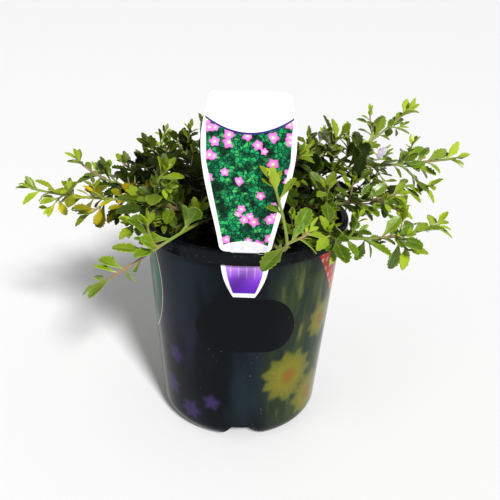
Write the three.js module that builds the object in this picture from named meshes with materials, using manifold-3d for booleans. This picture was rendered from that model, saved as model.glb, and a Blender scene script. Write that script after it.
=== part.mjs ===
import * as THREE from 'three';
import { mergeVertices } from 'three/addons/utils/BufferGeometryUtils.js';
import Module from 'manifold-3d';

// A potted fan flower: a thin plastic nursery pot filled with potting mix, a plastic tag pushed through
// a slot in its rim, and leafy shoots that stand in the mix and spread over the rim, some in bloom.
// Millimetres, +Z up, front towards -Y. The origin is the middle of the pot's flat base.

const wasm = await Module();
wasm.setup();

// Pot
const RIM_RADIUS = 70;
const POT_HEIGHT = 150;
const SKIRT_HEIGHT = 8;
const SKIRT_THICKNESS = 0.9;
const FLANGE_THICKNESS = 1.4;
const WALL_TOP_RADIUS = 66.2;
const WALL_THICKNESS = 1.4;
const FOOT_RADIUS = 42;
const CORNER_RADIUS = 14;
const CORNER_STEPS = 3;
const NOTCH_HEIGHT = 13;
const NOTCH_HALF_WIDTH = 8;
const NOTCH_SPREAD = 10;
const NOTCH_TURN = 4;
const NOTCH_INNER_RADIUS = 33;
const DRAIN_RADIUS = 4.5;
const DRAIN_CIRCLE = 27;
const POT_SIDES = 32;

// Potting mix
const SOIL_HEIGHT = 130;
const SOIL_CROWN = 3;
const SOIL_BUMP = 0.9;
const SOIL_SIDES = 24;
const GAP = 0.35;

// Tag, whose outline is given upwards from the rim's top
const TAG_THICKNESS = 0.6;
const TAG_MIDDLE = 1.5;
const TAG_TOP = 95;
const TAG_TOP_HALF_WIDTH = 22;
const TAG_WIDEST = 70;
const TAG_HALF_WIDTH = 25.8;
const TAG_SHOULDER_HALF_WIDTH = 15.6;
const TAG_CORNER = 5;
const TAG_NECK_HALF_WIDTH = 8.5;
const BARB_TOP = -SKIRT_HEIGHT - GAP;
const BARB_HALF_WIDTH = 14.2;
const BARB_TIP = -31;
const BARB_TIP_HALF_WIDTH = 6.6;
const SLOT_PLAY = 0.7;

// Shoots and leaves
const ROOT_DEPTH = 10;
const ROOT_RISE = 2;
const ROOT_PLAY = 0.9;
const STEM_RADIUS = 1.2;
const SIDE_RADIUS = 0.9;
const STEM_FACES = 5;
const STEM_STEP = 20;
const LEAF_LENGTH = 21;
const LEAF_SLIMNESS = 0.47;
const LEAF_SPACING = 12.3;
const YOUNG_LENGTH = 12.5;
const YOUNG_MAIN = 4;
const YOUNG_SIDE = 3;
const YOUNG_SPACING = 2;
const RIB_HALF_THICKNESS = 0.65;
const GOLDEN_ANGLE = 137.5;
const BARE_SHARE = 0.28;
const SEED = 5;
const LIGHT = new THREE.Vector3(0.15, -0.25, 1).normalize();

// Clearances that the leaves keep, measured between points spread over each blade
const OTHER_GAP = 4.4;
const OWN_GAP = 2.6;
const RIM_GAP = 1.6;
const TRIES = 9;

// Half outlines of a blade, from its foot towards its tip: share of the length, share of the half width
const TOOTHED = [[0.34, 0.4], [0.62, 1], [0.69, 0.84], [0.87, 0.76]];
const YOUNG = [[0.56, 1], [0.74, 0.8]];
const PETAL = [[0.5, 0.9], [0.86, 0.85]];
const RIB_BEND = 0.5;
const FOOT_BACK = 1;

// Ways a blade bends: back along its length, up from the midrib, and to one side
const FORMS = [
  { curl: 0.1, fold: 0.3, sweep: 0.05 },
  { curl: 0.22, fold: 0.18, sweep: -0.08 },
  { curl: -0.08, fold: 0.42, sweep: 0.1 },
  { curl: 0.32, fold: 0.25, sweep: 0 },
  { curl: 0.02, fold: 0.5, sweep: -0.12 },
];

// Blooms: length of the tube, of its stalk and of a petal, and the turn between petals
const BLOOM_TUBE = 5;
const BLOOM_STALK = 4;
const PETAL_LENGTH = 8.5;
const PETAL_SLIMNESS = 0.48;
const PETAL_TURN = 38;
const PETAL_OPEN = 62;
const PETALS = 5;

// Each shoot leaves the mix at root [azimuth in degrees, distance from the pot's axis], rises straight
// for a while (lift) and bends through `bend` to `tip`. A side shoot leaves it at a share of its run.
// `own` leaves are placed one by one: share of the run, turn round the stem, opening angle, length.
// `bare` is the share of the run below the leaves, where it isn't BARE_SHARE.
const SHOOTS = [
  {
    name: 'shoot_front_upright', root: [288, 22], lift: 29, bend: [38, -138, 142], tip: [15.5, -77, 196.5],
    bare: 1, sides: [[0.68, 36, -84, 171]],
    own: [[0.69, 290, 80, 22], [0.84, 245, 40, 13], [0.91, 5, 60, 16], [0.97, 60, 16, 15]],
  },
  {
    name: 'shoot_front_left_trailing', root: [245, 14], lift: 40, bend: [-48, -96, 158], tip: [-89, -60, 121],
    bare: 0.5, sides: [[0.48, -27, -50, 168], [0.6, -58, -52, 160]],
    own: [[0.62, 100, 75, 19], [0.66, 60, 50, 21], [0.83, 80, 45, 15], [0.78, 270, 60, 15]],
  },
  {
    name: 'shoot_left_front_upright', root: [212, 13], lift: 18, bend: [-75, -44, 160], tip: [-47, -42, 190],
    sides: [[0.55, -68, -32, 168], [0.62, -68, -50, 158]],
    own: [[0.93, 100, 20, 17], [0.78, 200, 50, 21], [0.7, 340, 60, 16]],
  },
  {
    name: 'shoot_far_left', root: [176, 14], lift: 32, bend: [-88, 2, 146], tip: [-140, -8, 164],
    sides: [[0.6, -104, -14, 150]],
    own: [[0.8, 90, 60, 13], [0.7, 250, 60, 15]],
  },
  {
    name: 'shoot_left_high', root: [160, 15], lift: 30, bend: [-86, 26, 140], tip: [-116, 22, 175],
    sides: [[0.62, -100, 38, 164]],
    own: [],
  },
  {
    name: 'shoot_left_back', root: [146, 17], lift: 32, bend: [-66, 36, 148], tip: [-90, 48, 166],
    sides: [[0.6, -74, 60, 166]],
    own: [[0.85, 150, 60, 22]],
  },
  {
    name: 'shoot_left_top', root: [188, 7], lift: 36, bend: [-48, 8, 166], tip: [-66, 14, 190],
    sides: [[0.6, -44, -16, 182]],
    own: [],
  },
  {
    name: 'shoot_left_rise', root: [134, 11], lift: 32, bend: [-36, 34, 160], tip: [-50, 48, 184],
    sides: [[0.62, -28, 52, 178]],
    own: [],
  },
  {
    name: 'shoot_right_low', root: [305, 16], lift: 26, bend: [50, -84, 150], tip: [118, -46, 163],
    sides: [[0.5, 50, -64, 163], [0.76, 98, -66, 154]],
    own: [],
  },
  {
    name: 'shoot_right_long', root: [8, 14], lift: 54, bend: [66, 14, 174], tip: [138, 5, 190],
    sides: [[0.55, 84, 26, 190], [0.74, 120, -6, 174]],
    own: [],
  },
  {
    name: 'shoot_right_high', root: [28, 15], lift: 28, bend: [76, 40, 172], tip: [112, 46, 212],
    sides: [[0.6, 100, 52, 176]],
    own: [],
  },
  {
    name: 'shoot_right_centre', root: [348, 16], lift: 34, bend: [64, -4, 168], tip: [110, -6, 174],
    sides: [[0.5, 72, -20, 182], [0.7, 98, -24, 164]],
    own: [],
  },
  {
    name: 'shoot_right_front', root: [328, 15], lift: 30, bend: [60, -34, 164], tip: [92, -36, 178],
    sides: [[0.5, 50, -43, 182]],
    own: [[0.75, 0, 47, 22]],
  },
  {
    name: 'shoot_right_back', root: [56, 13], lift: 34, bend: [50, 34, 168], tip: [66, 36, 196],
    sides: [[0.62, 44, 50, 188]],
    own: [[0.9, 120, 60, 22]],
  },
  {
    name: 'shoot_back_right', root: [70, 18], lift: 32, bend: [44, 78, 158], tip: [66, 104, 168],
    sides: [[0.6, 36, 96, 166]],
    own: [],
  },
  {
    name: 'shoot_back', root: [92, 17], lift: 38, bend: [2, 72, 168], tip: [-2, 112, 182],
    sides: [[0.6, 20, 80, 190]],
    own: [],
  },
  {
    name: 'shoot_back_left', root: [116, 18], lift: 32, bend: [-40, 76, 160], tip: [-64, 100, 172],
    sides: [[0.6, -34, 92, 184]],
    own: [],
  },
  {
    name: 'shoot_crown_right', root: [330, 6], lift: 40, bend: [22, -14, 176], tip: [34, -18, 196],
    sides: [[0.61, 20, -36, 184], [0.47, 44, -37, 168]],
    own: [],
  },
  {
    name: 'shoot_crown_front', root: [268, 8], lift: 34, bend: [2, -30, 160], tip: [6, -46, 178],
    sides: [[0.6, -14, -48, 166]],
    own: [],
  },
  {
    name: 'shoot_crown_left', root: [240, 7], lift: 36, bend: [-14, -24, 168], tip: [-16, -34, 186],
    sides: [[0.6, -36, -16, 172], [0.45, -36, -38, 160]],
    own: [],
  },
];

// Blooms sit on these shoots, at a share of the run, turned round the stem and opened from it
const BLOOMS = [
  { name: 'bloom_1', shoot: 'shoot_right_high', share: 0.72, turn: 300, open: 70 },
  { name: 'bloom_2', shoot: 'shoot_right_back', share: 0.84, turn: 200, open: 60 },
  { name: 'bloom_3', shoot: 'shoot_right_high', share: 0.56, turn: 320, open: 75 },
];

const COLOURS = {
  pot: 0x15191c,
  soil: 0x35271c,
  tag: 0xf4f4f6,
  leaf: 0x5f8f2a,
  yellowing: 0x9a9a35,
  bloom: 0xe6dcf0,
};

const radians = THREE.MathUtils.degToRad;
const onCircle = (radius, degrees, z) =>
  new THREE.Vector3(radius * Math.cos(radians(degrees)), radius * Math.sin(radians(degrees)), z);

// A fixed draw between 0 and 1 for each pair of numbers
function draw(a, b) {
  const wave = Math.sin(a * 12.9898 + b * 78.233 + SEED) * 4375.85453;
  return wave - Math.floor(wave);
}

// Solids and geometries

function solidOf(geometry) {
  const bare = geometry.clone();
  bare.deleteAttribute('normal');
  bare.deleteAttribute('uv');
  const merged = mergeVertices(bare, 1e-4);
  const corners = [];
  for (let i = 0; i < merged.index.count; i += 3) {
    const face = [0, 1, 2].map((k) => merged.index.getX(i + k));
    if (new Set(face).size === 3) corners.push(...face);
  }
  return new wasm.Manifold(new wasm.Mesh({
    numProp: 3,
    vertProperties: new Float32Array(merged.attributes.position.array),
    triVerts: new Uint32Array(corners),
  }));
}

function geometryOf(solid) {
  const { vertProperties, triVerts } = solid.getMesh();
  const geometry = new THREE.BufferGeometry();
  geometry.setAttribute('position', new THREE.BufferAttribute(vertProperties, 3));
  geometry.setIndex(new THREE.BufferAttribute(triVerts, 1));
  geometry.computeVertexNormals();
  return geometry;
}

function turned(profile, sides) {
  const geometry = new THREE.LatheGeometry(profile.map(([r, z]) => new THREE.Vector2(r, z)), sides);
  return geometry.rotateX(Math.PI / 2);
}

function polygon(radius, faces) {
  const corners = Array.from({ length: faces }, (_, i) => onCircle(radius, (360 * i) / faces, 0));
  return new THREE.Shape(corners.map((corner) => new THREE.Vector2(corner.x, corner.y)));
}

function post(radius, faces, x, y, bottom, top) {
  const geometry = new THREE.ExtrudeGeometry(polygon(radius, faces), { depth: top - bottom, bevelEnabled: false });
  return solidOf(geometry.translate(x, y, bottom));
}

// Pot and potting mix

function cornerPoints(radius, inset) {
  return Array.from({ length: CORNER_STEPS + 1 }, (_, i) => {
    const angle = (radians(85.5) * i) / CORNER_STEPS;
    return [FOOT_RADIUS + radius * Math.sin(angle), inset + radius - radius * Math.cos(angle)];
  });
}

function wallRadius(z) {
  const bottom = FOOT_RADIUS + CORNER_RADIUS;
  const share = (z - CORNER_RADIUS) / (POT_HEIGHT - SKIRT_HEIGHT - CORNER_RADIUS);
  return bottom + (WALL_TOP_RADIUS - bottom) * share;
}

// Wedge-shaped recesses in the foot, one on each side; `grow` makes them larger all round
function notches(grow) {
  const half = NOTCH_HALF_WIDTH + grow;
  const height = NOTCH_HEIGHT + grow;
  const outline = new THREE.Shape([
    new THREE.Vector2(-half - NOTCH_SPREAD, -1),
    new THREE.Vector2(half + NOTCH_SPREAD, -1),
    new THREE.Vector2(half, height),
    new THREE.Vector2(-half, height),
  ]);
  const inner = NOTCH_INNER_RADIUS - grow;
  const wedge = new THREE.ExtrudeGeometry(outline, { depth: RIM_RADIUS - inner, bevelEnabled: false });
  wedge.translate(0, 0, inner).rotateX(Math.PI / 2);
  const first = solidOf(wedge).rotate([0, 0, NOTCH_TURN]);
  return [90, 180, 270].reduce((all, angle) => all.add(first.rotate([0, 0, angle])), first);
}

function cavity(inset) {
  const top = POT_HEIGHT + 5;
  return solidOf(turned([
    [0, inset],
    ...cornerPoints(CORNER_RADIUS - inset, inset),
    [wallRadius(top) - inset, top],
    [0, top],
  ], POT_SIDES));
}

function pot() {
  const skirtInner = RIM_RADIUS - SKIRT_THICKNESS;
  const skirtBottom = POT_HEIGHT - SKIRT_HEIGHT;
  const flangeBottom = POT_HEIGHT - FLANGE_THICKNESS;
  const edge = SKIRT_THICKNESS * 0.7;
  const outside = solidOf(turned([
    [0, 0],
    ...cornerPoints(CORNER_RADIUS, 0),
    [WALL_TOP_RADIUS, skirtBottom],
    [wallRadius(flangeBottom), flangeBottom],
    [skirtInner, flangeBottom],
    [skirtInner, skirtBottom],
    [RIM_RADIUS, skirtBottom],
    [RIM_RADIUS, POT_HEIGHT - edge],
    [RIM_RADIUS - edge, POT_HEIGHT],
    [0, POT_HEIGHT],
  ], POT_SIDES));
  let shell = outside.subtract(notches(0)).subtract(cavity(WALL_THICKNESS).subtract(notches(WALL_THICKNESS)));
  for (const angle of [45, 135, 225, 315]) {
    const { x, y } = onCircle(DRAIN_CIRCLE, angle, 0);
    shell = shell.subtract(post(DRAIN_RADIUS, 10, x, y, -1, WALL_THICKNESS + 1));
  }
  const slot = new THREE.BoxGeometry(
    2 * (TAG_NECK_HALF_WIDTH + SLOT_PLAY),
    4 * FLANGE_THICKNESS,
    TAG_THICKNESS + 2 * GAP,
  );
  return shell.subtract(solidOf(standing(slot.translate(0, 0, TAG_THICKNESS / 2))));
}

function soilTop(x, y) {
  const bumps = Math.sin(0.31 * x + 0.5) * Math.cos(0.27 * y) + 0.6 * Math.sin(0.71 * x - 0.53 * y);
  const crown = 1 - Math.hypot(x, y) / wallRadius(SOIL_HEIGHT);
  return SOIL_HEIGHT + SOIL_CROWN * crown + SOIL_BUMP * bumps;
}

function soil() {
  const inset = WALL_THICKNESS + GAP;
  const edge = wallRadius(SOIL_HEIGHT) - inset;
  const rings = [1, 0.7, 0.4].map((share) => [edge * share, SOIL_HEIGHT]);
  const geometry = turned([
    [0, inset],
    ...cornerPoints(CORNER_RADIUS - inset, inset),
    ...rings,
    [0, SOIL_HEIGHT],
  ], SOIL_SIDES);
  const places = geometry.attributes.position;
  for (let i = 0; i < places.count; i += 1) {
    if (places.getZ(i) > SOIL_HEIGHT - 1) places.setZ(i, soilTop(places.getX(i), places.getY(i)));
  }
  let mix = solidOf(geometry).subtract(notches(inset));
  for (const shoot of SHOOTS) {
    const { x, y } = onCircle(shoot.root[1], shoot.root[0], 0);
    const bottom = soilTop(x, y) - ROOT_DEPTH - 1;
    mix = mix.subtract(post(STEM_RADIUS + ROOT_PLAY, 6, x, y, bottom, POT_HEIGHT));
  }
  return mix;
}

// Tag

// Stands a flat geometry drawn in XY, upwards from the rim's top, in the tag's leaning plane
function standing(geometry) {
  const lean = Math.atan2(WALL_TOP_RADIUS - FOOT_RADIUS - CORNER_RADIUS,
    POT_HEIGHT - SKIRT_HEIGHT - CORNER_RADIUS);
  return geometry
    .rotateX(Math.PI / 2 + lean)
    .translate(TAG_MIDDLE, -wallRadius(POT_HEIGHT) - GAP, POT_HEIGHT);
}

function tag() {
  const side = [
    [TAG_TOP_HALF_WIDTH, TAG_TOP - TAG_CORNER],
    [TAG_HALF_WIDTH, TAG_WIDEST],
    [TAG_SHOULDER_HALF_WIDTH, TAG_CORNER],
    [TAG_SHOULDER_HALF_WIDTH - TAG_CORNER, GAP],
    [TAG_NECK_HALF_WIDTH, GAP],
    [TAG_NECK_HALF_WIDTH, BARB_TOP],
    [BARB_HALF_WIDTH, BARB_TOP],
    [BARB_TIP_HALF_WIDTH, BARB_TIP],
  ];
  const [corner, widest, shoulder, foot, neckTop, neckBottom, barbTop, barbTip] = side;
  const outline = new THREE.Shape();
  outline.moveTo(-corner[0] + TAG_CORNER, TAG_TOP);
  outline.quadraticCurveTo(-corner[0], TAG_TOP, -corner[0], corner[1]);
  outline.bezierCurveTo(-widest[0], TAG_TOP - 4 * TAG_CORNER, -widest[0], widest[1], -widest[0], widest[1] - 4);
  outline.bezierCurveTo(-widest[0] - 0.5, widest[1] - 22, -shoulder[0] - 3, 24, -shoulder[0], shoulder[1]);
  outline.quadraticCurveTo(-shoulder[0] + 0.5, foot[1], -foot[0], foot[1]);
  outline.lineTo(-neckTop[0], neckTop[1]);
  outline.lineTo(-neckBottom[0], neckBottom[1]);
  outline.lineTo(-barbTop[0], barbTop[1]);
  outline.quadraticCurveTo(-barbTop[0] + 0.6, (barbTop[1] + BARB_TIP) / 2, -barbTip[0], BARB_TIP);
  outline.lineTo(barbTip[0], BARB_TIP);
  outline.quadraticCurveTo(barbTop[0] - 0.6, (barbTop[1] + BARB_TIP) / 2, barbTop[0], barbTop[1]);
  outline.lineTo(neckBottom[0], neckBottom[1]);
  outline.lineTo(neckTop[0], neckTop[1]);
  outline.lineTo(foot[0], foot[1]);
  outline.quadraticCurveTo(shoulder[0] - 0.5, foot[1], shoulder[0], shoulder[1]);
  outline.bezierCurveTo(shoulder[0] + 3, 24, widest[0] + 0.5, widest[1] - 22, widest[0], widest[1] - 4);
  outline.bezierCurveTo(widest[0], widest[1], widest[0], TAG_TOP - 4 * TAG_CORNER, corner[0], corner[1]);
  outline.quadraticCurveTo(corner[0], TAG_TOP, corner[0] - TAG_CORNER, TAG_TOP);
  const options = { depth: TAG_THICKNESS, bevelEnabled: false, curveSegments: 4 };
  return solidOf(standing(new THREE.ExtrudeGeometry(outline, options)));
}

// Stems

// A path that is straight from joint to joint, with the joints at equal shares of it
class JointedPath extends THREE.Curve {
  constructor(joints) {
    super();
    this.joints = joints;
  }

  getUtoTmapping(share) {
    return share;
  }

  getPoint(share) {
    const place = share * (this.joints.length - 1);
    const before = Math.min(Math.floor(place), this.joints.length - 2);
    return this.joints[before].clone().lerp(this.joints[before + 1], place - before);
  }
}

// A stem follows the joints of its run; a main stem has its root below them
function stemOn(run, radius, root = []) {
  const joints = run.getSpacedPoints(Math.max(2, Math.round(run.getLength() / STEM_STEP)));
  return { run, length: run.getLength(), path: new JointedPath(joints), radius, joints: [...root, ...joints] };
}

function stemPoint(stem, share) {
  return stem.path.getPoint(share);
}

function mainStem(shoot) {
  const foot = onCircle(shoot.root[1], shoot.root[0], 0);
  foot.z = soilTop(foot.x, foot.y) + ROOT_RISE;
  const run = new THREE.CubicBezierCurve3(
    foot,
    foot.clone().setZ(foot.z + shoot.lift),
    new THREE.Vector3(...shoot.bend),
    new THREE.Vector3(...shoot.tip),
  );
  return stemOn(run, STEM_RADIUS, [foot.clone().setZ(foot.z - ROOT_RISE - ROOT_DEPTH)]);
}

function sideStem(main, [share, ...tip]) {
  const start = stemPoint(main, share);
  const end = new THREE.Vector3(...tip);
  const reach = start.distanceTo(end) / 3;
  const leave = main.run.getTangentAt(share).multiplyScalar(reach).add(start);
  const arrive = end.clone().sub(start).normalize().add(LIGHT).normalize().multiplyScalar(-reach).add(end);
  return stemOn(new THREE.CubicBezierCurve3(start, leave, arrive, end), SIDE_RADIUS);
}

function stemSolid(stem) {
  const extrudePath = new JointedPath(stem.joints);
  const options = { steps: stem.joints.length - 1, extrudePath, bevelEnabled: false };
  return solidOf(new THREE.ExtrudeGeometry(polygon(stem.radius, STEM_FACES), options));
}

// Blades

function bladePoint(blade, along, across, over) {
  const { length, form } = blade;
  return new THREE.Vector3(
    length * along,
    across + form.sweep * length * along * along,
    form.fold * Math.abs(across) - form.curl * length * along * along + over,
  );
}

// A blade is a thin lens: its two faces share the outline, and each is a fan round a point on the midrib
function bladeGeometry(blade) {
  const { outline, width, length } = blade;
  const half = (side) => outline.map(([along, share]) => bladePoint(blade, along, side * share * (width / 2), 0));
  const foot = bladePoint(blade, -FOOT_BACK / length, 0, 0);
  const tip = bladePoint(blade, 1, 0, 0);
  const edge = [foot, ...half(-1), tip, ...half(1).reverse(), foot];
  const over = bladePoint(blade, RIB_BEND, 0, RIB_HALF_THICKNESS);
  const under = bladePoint(blade, RIB_BEND, 0, -RIB_HALF_THICKNESS);
  const corners = [];
  for (let i = 1; i < edge.length; i += 1) {
    corners.push(edge[i - 1], edge[i], over, edge[i], edge[i - 1], under);
  }
  return new THREE.BufferGeometry().setFromPoints(corners).applyMatrix4(blade.place);
}

// Points spread over a blade, which its clearances are measured from
function bladeMarks(blade) {
  const marks = [[0.35, 0], [0.6, -0.85], [0.6, 0], [0.6, 0.85], [0.85, -0.6], [0.85, 0], [0.85, 0.6], [1, 0]];
  return marks.map(([along, share]) =>
    bladePoint(blade, along, (blade.width / 2) * share, 0).applyMatrix4(blade.place));
}

// The place of a blade on a stem: its foot is on the stem's axis, it opens from the stem by `open`
// degrees on the side given by `turn`, and its upper face leans to the light
function bladePlace(stem, share, turn, open) {
  const foot = stemPoint(stem, share);
  const ahead = stem.run.getTangentAt(share);
  const beside = ahead.clone().cross(LIGHT).normalize();
  const above = beside.clone().cross(ahead);
  const out = beside.clone().multiplyScalar(Math.cos(radians(turn)))
    .addScaledVector(above, Math.sin(radians(turn)));
  const along = ahead.clone().multiplyScalar(Math.cos(radians(open)))
    .addScaledVector(out, Math.sin(radians(open)));
  const face = ahead.clone().multiplyScalar(0.4 * Math.sin(radians(open)))
    .addScaledVector(out, -0.4 * Math.cos(radians(open)))
    .addScaledVector(LIGHT, 0.9)
    .addScaledVector(beside, 0.25 * Math.sign(Math.cos(radians(turn))));
  face.addScaledVector(along, -face.dot(along)).normalize();
  const across = face.clone().cross(along);
  return new THREE.Matrix4().makeBasis(along, across, face).setPosition(foot);
}

// What is already in place: the owner and the marks of each stem, blade, bloom and of the tag
const placed = [];

// A blade keeps clear of the pot when each mark below the rim's top is over the mix or outside the wall,
// and all of them are on the same side of the rim
function clearOfPot(marks) {
  const low = marks.filter((mark) => mark.z < POT_HEIGHT + RIM_GAP);
  const inside = low.filter((mark) => Math.hypot(mark.x, mark.y) < wallRadius(mark.z) - WALL_THICKNESS - RIM_GAP);
  const outside = low.filter((mark) => Math.hypot(mark.x, mark.y) > RIM_RADIUS + RIM_GAP);
  const oneSide = inside.length === low.length || outside.length === low.length;
  return oneSide && inside.every((mark) => mark.z > soilTop(mark.x, mark.y) + RIM_GAP);
}

function clearOfOthers(marks, owner) {
  return placed.every((thing) => {
    const own = thing.owner === owner;
    if (own && !thing.blade) return true;
    const gap = own ? OWN_GAP : OTHER_GAP;
    const far = own ? marks.slice(4) : marks;
    return far.every((mark) => thing.marks.every((other) => mark.distanceTo(other) > gap));
  });
}

// Turns and shortens a blade until it is clear; returns nothing where no place is
function placeBlade(stem, owner, wish) {
  for (let attempt = 0; attempt < TRIES; attempt += 1) {
    const swing = (attempt % 2 ? 1 : -1) * Math.ceil(attempt / 2) * 24;
    const length = wish.length * (1 - 0.05 * attempt);
    const blade = {
      outline: wish.outline,
      form: wish.form,
      length,
      width: length * LEAF_SLIMNESS,
      place: bladePlace(stem, wish.share, wish.turn + swing, wish.open),
    };
    const marks = bladeMarks(blade);
    if (clearOfPot(marks) && clearOfOthers(marks, owner)) {
      placed.push({ owner, blade: true, marks });
      return blade;
    }
  }
  return null;
}

// The leaves that a stem should bear: grown ones spaced along it, then a tuft of young ones at its tip
function wishes(stem, number, bare, young) {
  const list = [];
  const leafy = stem.length * (1 - bare);
  const count = leafy > 0 ? Math.max(2, Math.round(leafy / LEAF_SPACING)) : 0;
  for (let i = 0; i < count; i += 1) {
    const share = (i + 0.3 + 0.4 * draw(number, i)) / count;
    list.push({
      outline: TOOTHED,
      form: FORMS[Math.floor(FORMS.length * draw(number, i + 20))],
      share: bare + (0.96 - (young * YOUNG_SPACING) / stem.length - bare) * share,
      turn: number * 70 + i * GOLDEN_ANGLE,
      open: 58 - 22 * share + 14 * (draw(number, i + 40) - 0.5),
      length: LEAF_LENGTH * (1.1 - 0.35 * share) * (0.85 + 0.3 * draw(number, i + 60)),
    });
  }
  for (let i = 0; i < young; i += 1) {
    const share = i / (young - 1);
    list.push({
      outline: YOUNG,
      form: FORMS[i % 3],
      share: 1 - (0.4 + (young - 1 - i) * YOUNG_SPACING) / stem.length,
      turn: number * 70 + 40 + i * GOLDEN_ANGLE,
      open: 46 - 34 * share,
      length: YOUNG_LENGTH * (1.15 - 0.35 * share) * (0.9 + 0.2 * draw(number, i + 80)),
    });
  }
  return list;
}

// Blooms

function bloomPlace(bloom, stem) {
  const place = bladePlace(stem, bloom.share, bloom.turn, bloom.open);
  const [along, across, face] = [0, 1, 2].map((i) => new THREE.Vector3().setFromMatrixColumn(place, i));
  const start = new THREE.Vector3().setFromMatrixPosition(place);
  const stalkEnd = start.clone().addScaledVector(along, STEM_RADIUS + BLOOM_STALK);
  const foot = stalkEnd.clone().addScaledVector(along, GAP);
  return { start, stalkEnd, matrix: new THREE.Matrix4().makeBasis(across, face, along).setPosition(foot) };
}

function petals() {
  return Array.from({ length: PETALS }, (_, i) => {
    const swing = radians((i - (PETALS - 1) / 2) * PETAL_TURN);
    const open = radians(PETAL_OPEN);
    const out = new THREE.Vector3(Math.sin(swing), Math.cos(swing), 0);
    const along = out.clone().multiplyScalar(Math.sin(open)).setZ(Math.cos(open));
    const face = out.clone().multiplyScalar(-Math.cos(open)).setZ(Math.sin(open));
    return {
      outline: PETAL,
      form: { curl: 0.12, fold: 0.15, sweep: 0 },
      length: PETAL_LENGTH,
      width: PETAL_LENGTH * PETAL_SLIMNESS,
      place: new THREE.Matrix4().makeBasis(along, face.clone().cross(along), face)
        .setPosition(0, 0, BLOOM_TUBE - 0.6),
    };
  });
}

function bloomSolid(matrix) {
  const tube = solidOf(turned([[0, 0], [0.7, 0], [1.3, BLOOM_TUBE], [0, BLOOM_TUBE]], 6));
  const flower = petals().reduce((whole, petal) => whole.add(solidOf(bladeGeometry(petal))), tube);
  return solidOf(geometryOf(flower).applyMatrix4(matrix));
}

// The plant

function tagMarks() {
  const marks = [];
  for (let up = -30; up < TAG_TOP; up += 5) {
    for (let x = -25; x <= 25; x += 5) marks.push(new THREE.Vector3(x, up, 0));
  }
  return standing(new THREE.BufferGeometry().setFromPoints(marks)).attributes.position;
}

function stemMarks(stem) {
  const count = Math.ceil(stem.length / 3);
  return Array.from({ length: count + 1 }, (_, i) => stemPoint(stem, i / count));
}

function grow() {
  const tagPlaces = tagMarks();
  const onTag = Array.from({ length: tagPlaces.count }, (_, i) =>
    new THREE.Vector3().fromBufferAttribute(tagPlaces, i));
  placed.push({ owner: 'tag', marks: onTag });
  const plants = SHOOTS.map((shoot, index) => {
    const main = mainStem(shoot);
    const stems = [main, ...shoot.sides.map((side) => sideStem(main, side))];
    for (const stem of stems) placed.push({ owner: shoot.name, marks: stemMarks(stem) });
    return { shoot, index, stems, blades: [], stalks: [] };
  });
  const blooms = BLOOMS.map((bloom) => {
    const plant = plants.find((one) => one.shoot.name === bloom.shoot);
    const { start, stalkEnd, matrix } = bloomPlace(bloom, plant.stems[0]);
    plant.stalks.push({ joints: [start, stalkEnd], radius: SIDE_RADIUS });
    for (const petal of petals()) {
      placed.push({ owner: bloom.name, marks: bladeMarks(petal).map((mark) => mark.applyMatrix4(matrix)) });
    }
    return { bloom, matrix };
  });
  for (const { shoot, stems, blades } of plants) {
    for (const [share, turn, open, length] of shoot.own) {
      const wish = { outline: TOOTHED, form: FORMS[blades.length % FORMS.length], share, turn, open, length };
      blades.push(placeBlade(stems[0], shoot.name, wish));
    }
  }
  for (const plant of plants) {
    const { shoot, index, stems, blades } = plant;
    stems.forEach((stem, order) => {
      const [bare, young] = order === 0 ? [shoot.bare ?? BARE_SHARE, YOUNG_MAIN] : [0.25, YOUNG_SIDE];
      for (const wish of wishes(stem, index * 4 + order + 1, bare, young)) {
        blades.push(placeBlade(stem, shoot.name, wish));
      }
    });
    plant.blades = blades.filter((blade) => blade);
  }
  return { plants, blooms };
}

function shootSolid({ stems, stalks, blades }) {
  const parts = [
    ...[...stems, ...stalks].map(stemSolid),
    ...blades.map((blade) => solidOf(bladeGeometry(blade))),
  ];
  return parts.reduce((whole, part) => whole.add(part));
}

function mesh(name, solid, colour, roughness) {
  const material = new THREE.MeshStandardMaterial({ color: colour, roughness, metalness: 0 });
  const piece = new THREE.Mesh(geometryOf(solid), material);
  piece.name = name;
  return piece;
}

const plant = grow();
const object = new THREE.Group();
object.add(mesh('pot', pot(), COLOURS.pot, 0.25));
object.add(mesh('soil', soil(), COLOURS.soil, 0.95));
object.add(mesh('tag', tag(), COLOURS.tag, 0.4));
for (const one of plant.plants) {
  const colour = one.shoot.name === 'shoot_far_left' ? COLOURS.yellowing : COLOURS.leaf;
  object.add(mesh(one.shoot.name, shootSolid(one), colour, 0.45));
}
for (const { bloom, matrix } of plant.blooms) {
  object.add(mesh(bloom.name, bloomSolid(matrix), COLOURS.bloom, 0.6));
}

export default object;
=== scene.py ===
import math

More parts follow.
